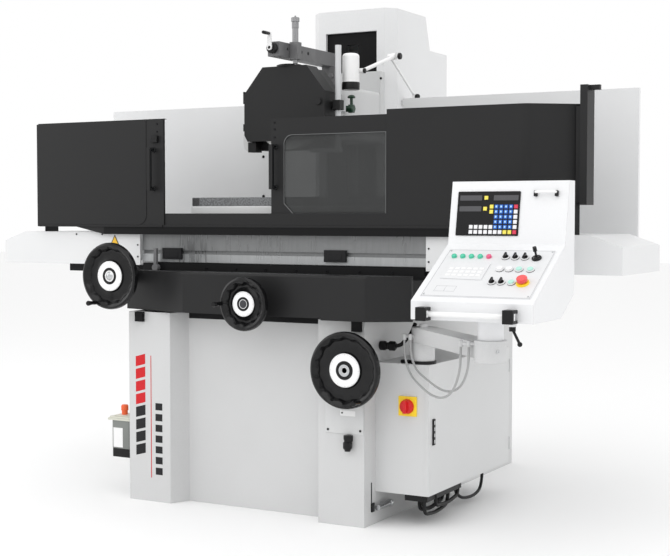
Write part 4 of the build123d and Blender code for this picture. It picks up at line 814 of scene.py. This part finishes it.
# ---- Wheel dresser over the hood ----
# A steel bar on the head carries a cross slide with a micrometer sleeve that holds the
# diamond. The crank at its front end feeds the slide along the bar.
bar_grey = skin("dresser_grey", (0.13, 0.13, 0.133), 0.42, metal=0.2, drift=0.08, grain=0.4, grain_scale=350.0,
    wear=0.15, worn=(0.3, 0.3, 0.3), edge=0.0015)
coat(bar_grey, "dresser_bridge")
DRESSER_Y, SLIDE_Z = -436, (2006, 2086)
add_block((30.1, 72), (DRESSER_Y - 20, DRESSER_Y + 20), SLIDE_Z)
piece("dresser_slide_block", bar_grey, "dresser_slide", ("dresser_slide",), edge=2.0)
sleeve = skin("micrometer_steel", (0.27, 0.27, 0.275), 0.32, metal=0.6, drift=0.06, grain=0.5, grain_scale=500.0,
    stretch=(1, 1, 3))


def knurl(index, angle):
    return 0.45 * math.cos(30 * angle) if index in (3, 4) else 0.0


add_turned((50, DRESSER_Y, SLIDE_Z[1]), UP, [(0, 0), (14, 0), (14, 62), (15.5, 64), (15.5, 92), (19, 93), (19, 110),
    (17, 112), (5, 112), (4, 120), (0, 120)], 120, knurl)
add_turned((50, DRESSER_Y, SLIDE_Z[0]), (0, 0, -1), [(0, 0), (11, 0), (11, 16), (4, 17), (4, 22), (0, 23)], 24)
piece("dresser_micrometer", sleeve, "dresser_slide")
crank_white = skin("crank_white", (0.72, 0.72, 0.72), 0.35, drift=0.02, grain=0.1)
STAND = upright(0, -575, 0)
CRANK_Z, GRIP_Z = 2050, 2112
arm = [(12 * math.cos(math.radians(a)), CRANK_Z + 12 * math.sin(math.radians(a))) for a in range(180, 361, 15)]
arm += [(8.5 * math.cos(math.radians(a)), GRIP_Z + 8.5 * math.sin(math.radians(a))) for a in range(0, 181, 15)]
add_prism(arm, STAND, 8)
piece("dresser_crank_arm", crank_white, "dresser_crank", ("dresser_crank",), edge=1.2)
add_turned((0, -583, GRIP_Z), FRONT, [(0, 0), (6, 0), (7.5, 4), (8, 30), (7.5, 50), (5.5, 54), (0, 54)], 24)
piece("dresser_crank_grip", phenolic, "dresser_crank")
add_turned((0, -517, CRANK_Z), FRONT, [(0, 0), (7, 0), (7, 28.4), (18, 28.4), (24, 30), (24, 50), (18, 52), (7, 52),
    (7, 66), (0, 66)], 32)
piece("dresser_crank_bearing", gland_black, "dresser_crank")
for step in range(4):
    sides = ((-30.1, -1),) if step < 2 else ((30.1, 1), (-30.1, -1))
    for x, way in sides:
        add_turned((x, -470 + 62 * step, 2052), (way, 0, 0), [(4.6, -2), (7.6, -2), (7.6, 1), (4.6, 1)], 20)
piece("dresser_bar_bushes", dog_black, "head")
add_block((20, 52), (-70, -44), (1902, 2014))
add_turned((36, -70, 1968), FRONT, [(0, 0), (13, 0), (13, 10), (9, 13), (0, 13)], 6)
piece("dresser_stay", bar_grey, "head", edge=1.5)

# ---- Coolant line: steel pipe beside the hood ----
# Painted pipe in a black clamp on the head, with a fan nozzle at the wheel. A tap with a
# dark green handle feeds it.
pipe_paint = skin("coolant_pipe_paint", (0.60, 0.61, 0.62), 0.35, drift=0.05, grain=0.15)
coat(pipe_paint, "coolant_line")
add_block((221.5, 258.5), (-396.5, -355.5), (1775.5, 1820.5))
piece("coolant_clamp", guard_black, "head", edge=1.2)
TAP_X, TAP_Y = 232, -232
tap_green = skin("tap_green", (0.012, 0.05, 0.025), 0.35, grain=0.15)
add_turned((207, TAP_Y, 1792), (1, 0, 0), [(0, -17), (16, -17), (16, 12), (22, 14), (22, 34), (16, 38), (0, 38)], 6)
add_tube([(TAP_X, TAP_Y, 1800), (TAP_X, TAP_Y - 2, 1846)], 7)
add_turned((TAP_X, TAP_Y - 2, 1840), UP, [(0, 0), (17, 0), (19, 6), (12, 14), (0, 16)], 12)
piece("coolant_tap", tap_green, "head")

# ---- Work lamp on the column ----
# White enamelled arms with black friction knobs, and a white shade with a black rim ring
# around a frosted bulb.
lamp_enamel = skin("lamp_white_enamel", (0.86, 0.86, 0.86), 0.3, drift=0.01, grain=0.06)
coat(lamp_enamel, "lamp_lower_arm", "lamp_upper_arm", "lamp_shade")
coat(enamel, "arm_brackets")


def open_ends():
    """Takes the end faces off a turned ring."""
    for face in [f for f in shape.faces if len(f.verts) > 8]:
        shape.faces.remove(face)


add_turned((265, -302, 1871.8), UP, [(35.2, 0), (39.8, 0), (41, 6), (41, 30), (39.4, 34), (39.4, 34.2), (35.2, 30)],
    48)
open_ends()
piece("lamp_rim", gland_black, "lamp_shade")
add_turned((333.2, 50, 2057), RIGHT, [(0, 0), (12, 0), (16, 3), (16, 13), (13, 16), (0, 16)], 12)
piece("lamp_elbow_knob", gland_black, "lamp_upper_arm", edge=1.0)
add_turned((310, -262, 1960), RIGHT, [(0, 0), (9, 0), (12, 3), (12, 9), (9, 11), (0, 11)], 12)
piece("lamp_neck_knob", gland_black, "lamp_upper_arm", edge=0.8)
add_turned((302, 300, 1885), (1, -0.3, 0), [(0, 10), (11, 10), (14, 14), (12, 26), (0, 27)], 12)
piece("lamp_foot_knob", gland_black, "lamp_lower_arm", edge=0.8)

# ---- Pendant arm on the cabinet ----
# A fabricated arm in the machine's enamel turns on a post over the cabinet. A conduit
# joins the base to the arm through a gland, and the leads leave by small glands.
coat(enamel, "pendant_arm")
add_turned((817, -692, 683.2), UP, [(47.8, 0), (54.2, 0), (54.2, 12), (50, 13.4), (47.8, 13.4)], 48)
open_ends()
piece("post_ring", gland_black, "machine_base")


def ribbed(index, angle):
    return 0.6 * math.cos(6 * angle) if 2 <= index <= 5 else 0.0


add_turned((621, -700, 750), (1, 0, 0), [(0, 0), (18, 0), (20, 4), (20, 22), (15, 26), (15, 40), (20, 44), (20, 66),
    (14, 72), (0, 72)], 48, ribbed)
piece("conduit_gland", gland_black, "machine_base")
bend = rounded([(690, -700, 750), (716, -698, 756), (752, -676, 800), (762, -655, 846)], 40, 10)
add_tube(bend, 8.5)
piece("arm_conduit", hose_black, "machine_base")
add_block((724, 764), (-722, -700), (683.2, 697))
piece("cabinet_top_plug", gland_black, "machine_base", edge=3.0)
screws("swivel_screw", [(1356, -1216, 805)], (0.7, -0.7, 0.0), 6.0, "pendant_arm", finish=steel_grey,
       height=6.0)

# ---- Operator pendant: folded sheet housing ----
# White powder-coated sheet, turning on the arm's swivel. A readout sits in the upright
# face, the controls on the slope, and a grab bar with black ends along the lip.
pendant_white = skin("pendant_white_powder", (0.77, 0.775, 0.785), 0.38, drift=0.012, grain=0.15, grain_scale=650.0,
    relief=0.06, edge=0.002)
coat(pendant_white, "pendant_shell")
overlay_film = skin("control_film", (0.71, 0.715, 0.725), 0.3, drift=0.01, grain=0.06)
coat(overlay_film, "control_overlay")
coat(gland_black, "clamp_lever")
PEND_X, PEND_Y, PEND_Z = 1071.0, -1348.0, 990.0
TILT = math.atan2(199.0, 330.0)
SLOPE = Matrix.Translation((PEND_X, PEND_Y, PEND_Z)) @ Matrix.Rotation(TILT, 4, "X")
SCREEN_TILT = math.atan2(1428.0 - 1189.0, -975.0 + 1018.0)
SCREEN = Matrix.Translation((PEND_X, -1018.0, 1189.0)) @ Matrix.Rotation(SCREEN_TILT, 4, "X")
SLOPE_OUT = tuple(SLOPE.to_3x3() @ Vector((0, 0, 1)))
SCREEN_OUT = tuple(SCREEN.to_3x3() @ Vector((0, 0, 1)))

for x in (PEND_X + 40, PEND_X + 372):
    for z in (921.4, 957.6):
        add_block((x - 0.6, x + 40.6), (-1385.6, -1348.4), (z, z + 13))
    add_block((x - 0.6, x + 40.6), (-1396.6, -1384.4), (921.4, 970.6))
piece("grab_bar_ends", gland_black, "pendant", edge=2.0)
bar_white = skin("grab_bar_white", (0.84, 0.84, 0.84), 0.3, drift=0.01, grain=0.08)
add_turned((PEND_X + 80.8, -1374, 946), RIGHT, [(9.1, 0), (9.4, 0.5), (9.4, 290), (9.1, 290.6)], 32)
open_ends()
piece("grab_bar_sleeve", bar_white, "pendant")


def on(u, v, h):
    return SLOPE @ Vector((u, v, h))


# Readout: black bezel, two number windows and rows of keys.
READOUT_U, READOUT_V = (29.0, 282.0), (33.0, 203.0)
readout_black = skin("readout_black", (0.008, 0.008, 0.009), 0.25, shine=0.2, drift=0.05, grain=0.06)
window_grey = skin("readout_window", (0.05, 0.05, 0.055), 0.15, drift=0.3, grain=0.05)
add_prism(rounded_rect(READOUT_U, READOUT_V, 4), SCREEN @ lifted(0.2), 3.3)
piece("readout_bezel", readout_black, "pendant")
for (u0, u1), (v0, v1) in (((38, 128), (168, 188)), ((176, 275), (168, 188)), ((38, 128), (126, 146))):
    add_prism(rounded_rect((u0, u1), (v0, v1), 2), SCREEN @ lifted(3.4), 0.5)
piece("readout_windows", window_grey, "pendant")


def draw_key(tree, feed):
    """A key: a low block with a drawn-in top."""
    low = node(tree, "GeometryNodeMeshCube", {"Size": feed["Key size"]})["Mesh"]
    split = node(tree, "ShaderNodeSeparateXYZ", {0: node(tree, "GeometryNodeInputNormal", {})["Normal"]})
    top = node(tree, "FunctionNodeCompare", {0: split["Z"], 1: 0.5}, data_type="FLOAT", operation="GREATER_THAN")
    lift = node(tree, "GeometryNodeExtrudeMesh", {
        "Mesh": low, "Selection": top["Result"], "Offset Scale": feed["Key rise"]})
    return node(tree, "GeometryNodeScaleElements", {
        "Geometry": lift["Mesh"], "Selection": lift["Top"], "Scale": 0.78})["Geometry"]


KEYS = repeat_tree("key_rows", (("Key size", "NodeSocketVector", (0.014, 0.014, 0.002)),
    ("Key rise", "NodeSocketFloat", 0.0012)), draw_key)
KEY_COLOURS = {
    "blue": ((0.02, 0.13, 0.55), "button_white"), "white": ((0.80, 0.80, 0.82), "button_white"),
    "yellow": ((0.85, 0.72, 0.10), "button_white"), "red": ((0.65, 0.03, 0.08), "signal_red"),
}
COLUMNS = [190.0, 209.5, 229.0, 248.5, 268.0]
ROWS = [144.0, 124.5, 105.0, 85.5, 66.0]
LOW_COLUMNS = [91.0, 111.0, 131.0, 151.0, 171.0]
LOW_ROW = 46.5
KEY_PLACES = {"blue": [(u, v) for u in COLUMNS[:4] for v in ROWS],
    "white": [(COLUMNS[4], v) for v in ROWS[1:]] + [(u, v) for u in LOW_COLUMNS for v in (66.0,
    LOW_ROW)] + [(COLUMNS[0], LOW_ROW), (COLUMNS[1], LOW_ROW)],
    "yellow": [(COLUMNS[2], LOW_ROW), (COLUMNS[3], LOW_ROW), (146.0, 178.0), (144.0, 136.0), (170.0, 144.0),
    (170.0, 124.5)], "red": [(COLUMNS[4], ROWS[0]), (COLUMNS[4], LOW_ROW)],}
for colour, places in KEY_PLACES.items():
    tone, key_slot = KEY_COLOURS[colour]
    key_skin = skin("key_" + colour, tone, 0.35, drift=0.02, grain=0.06)
    repeated("readout_keys_" + colour, KEYS, [SCREEN @ Vector((u, v, 4.6)) for u, v in places],
             {"Key size": (0.0145, 0.0145, 0.0024), "Key rise": 0.0012}, key_skin, SCREEN_OUT, "pendant")
repeated("readout_key_dots", KEYS, [SCREEN @ Vector((u, v, 7.1)) for u, v in KEY_PLACES["blue"]],
         {"Key size": (0.006, 0.007, 0.0004), "Key rise": 0.0001},
         skin("key_print", (0.45, 0.72, 0.90), 0.4), SCREEN_OUT, "pendant")

# Small handle right of the readout.
add_tube(rounded([SCREEN @ Vector((345, 197, 0.3)), SCREEN @ Vector((345, 197, 20)), SCREEN @ Vector((423, 197, 20)),
    SCREEN @ Vector((423, 197, 0.3))], 8), 5)
piece("pendant_small_handle", bar_white, "pendant")
for u in (337, 419):
    add_prism(rounded_rect((u, u + 12), (182, 204), 3), SCREEN @ lifted(0.3), 13)
piece("pendant_handle_ends", gland_black, "pendant", edge=1.5)

# Control slope: printed frames, keypad, pilot lamps, bezels, buttons, switches and the stop.
print_grey = skin("print_grey", (0.36, 0.37, 0.38), 0.4, grain=0.05)
FILM = 3.05
for (u0, u1), (v0, v1) in (((28, 445), (338.6, 340)), ((28, 445), (33, 34.4)), ((28, 29.4), (33, 340)),
        ((443.6, 445), (33, 340)), ((66, 146), (62, 62.9)), ((66, 146), (96, 96.9)), ((66, 66.9), (62, 96)),
        ((145, 146), (62, 96)), ((105, 105.8), (62, 96))):
    add_prism([(u0, v0), (u1, v0), (u1, v1), (u0, v1)], SLOPE @ lifted(FILM), 0.25)
piece("film_print", print_grey, "pendant")
add_prism([(60, 144), (225, 138), (226, 244), (63, 253)], SLOPE @ lifted(FILM), 3.2)
piece("keypad_plate", overlay_film, "pendant", edge=0.8)
keypad_white = skin("keypad_keys", (0.80, 0.80, 0.80), 0.4, grain=0.06)
repeated("keypad_keys", KEYS, [on(84 + 24 * i, 164 + 22 * j, 6.9) for i in range(6) for j in range(3)],
         {"Key size": (0.018, 0.014, 0.0012), "Key rise": 0.0006}, keypad_white, SLOPE_OUT, "pendant")
repeated("film_screws", SCREWS, [on(u, v, FILM + 0.9) for u in (36, 437) for v in (42, 331)],
         {"Head radius": 0.0035, "Head height": 0.0018, "Recess share": 0.5}, steel_grey, SLOPE_OUT, "pendant")

lens_green = skin("lens_green", (0.05, 0.52, 0.33), 0.2, drift=0.03, grain=0.05, coat=0.5)
lens_red = skin("lens_red", (0.72, 0.08, 0.20), 0.2, drift=0.03, grain=0.05, coat=0.5)
for lens_name, lens, spots in (("pilot_lamps_green", lens_green, range(4)), ("pilot_lamp_red", lens_red, (4,))):
    for step in spots:
        add_turned(on(63 + 35 * step, 291, FILM), SLOPE_OUT,
            [(0, 0), (10.5, 0), (10.5, 5), (9.6, 8.6), (6.5, 11), (0, 12)], 28)
    piece(lens_name, lens, "pendant")

SELECTORS = [(269, 290), (307, 289), (345, 289), (272, 124), (308, 124)]
BUTTONS = [(274, 210), (310, 210), (348, 210), (391, 210), (347, 124)]
STICK, STOP = (390, 288), (390, 124)
bezel_white = skin("bezel_white", (0.72, 0.72, 0.73), 0.2, drift=0.01, grain=0.05, coat=0.3)


def add_ring(place, inner, outer, low, high):
    """A flat ring with a rounded outer edge on the control slope."""
    frame_at = aim_frame(SLOPE @ Vector((*place, 0)), SLOPE_OUT)
    steps, rings = 36, []
    for radius, height in ((inner, low), (outer, low), (outer, high - 1.0), (outer - 1.0, high), (inner, high)):
        rings.append([shape.verts.new(frame_at @ Vector((x, y, height))) for x, y in circle(radius, steps)])
    for a, b in zip(rings, rings[1:] + rings[:1]):
        join_rings(a, b)


for place in SELECTORS + BUTTONS:
    add_ring(place, 11.2, 15.3, 5.2, 8.4)
piece("control_bezels", bezel_white, "pendant")
for place in SELECTORS + BUTTONS:
    add_ring(place, 11.2, 15.6, FILM, 5.2)
add_ring(STICK, 12.3, 18.5, FILM, 8.6)
piece("control_bezel_bases", gland_black, "pendant")
add_ring(STOP, 11.2, 24.5, FILM, 9.4)
piece("stop_yellow_ring", switch_yellow, "pendant")
button_white = skin("button_white", (0.84, 0.84, 0.85), 0.25, drift=0.01, grain=0.05, coat=0.3)
pale_green = skin("button_pale_green", (0.42, 0.74, 0.64), 0.25, drift=0.02, grain=0.05, coat=0.3)
for number in range(1, 6):
    coat(button_white if number < 3 else pale_green, "push_button_%d" % number)
    coat(phenolic, "selector_%d" % number)
coat(phenolic, "joystick")
stop_red = skin("stop_red", (0.78, 0.06, 0.06), 0.25, drift=0.02, grain=0.05, coat=0.4)
coat(stop_red, "stop_button")
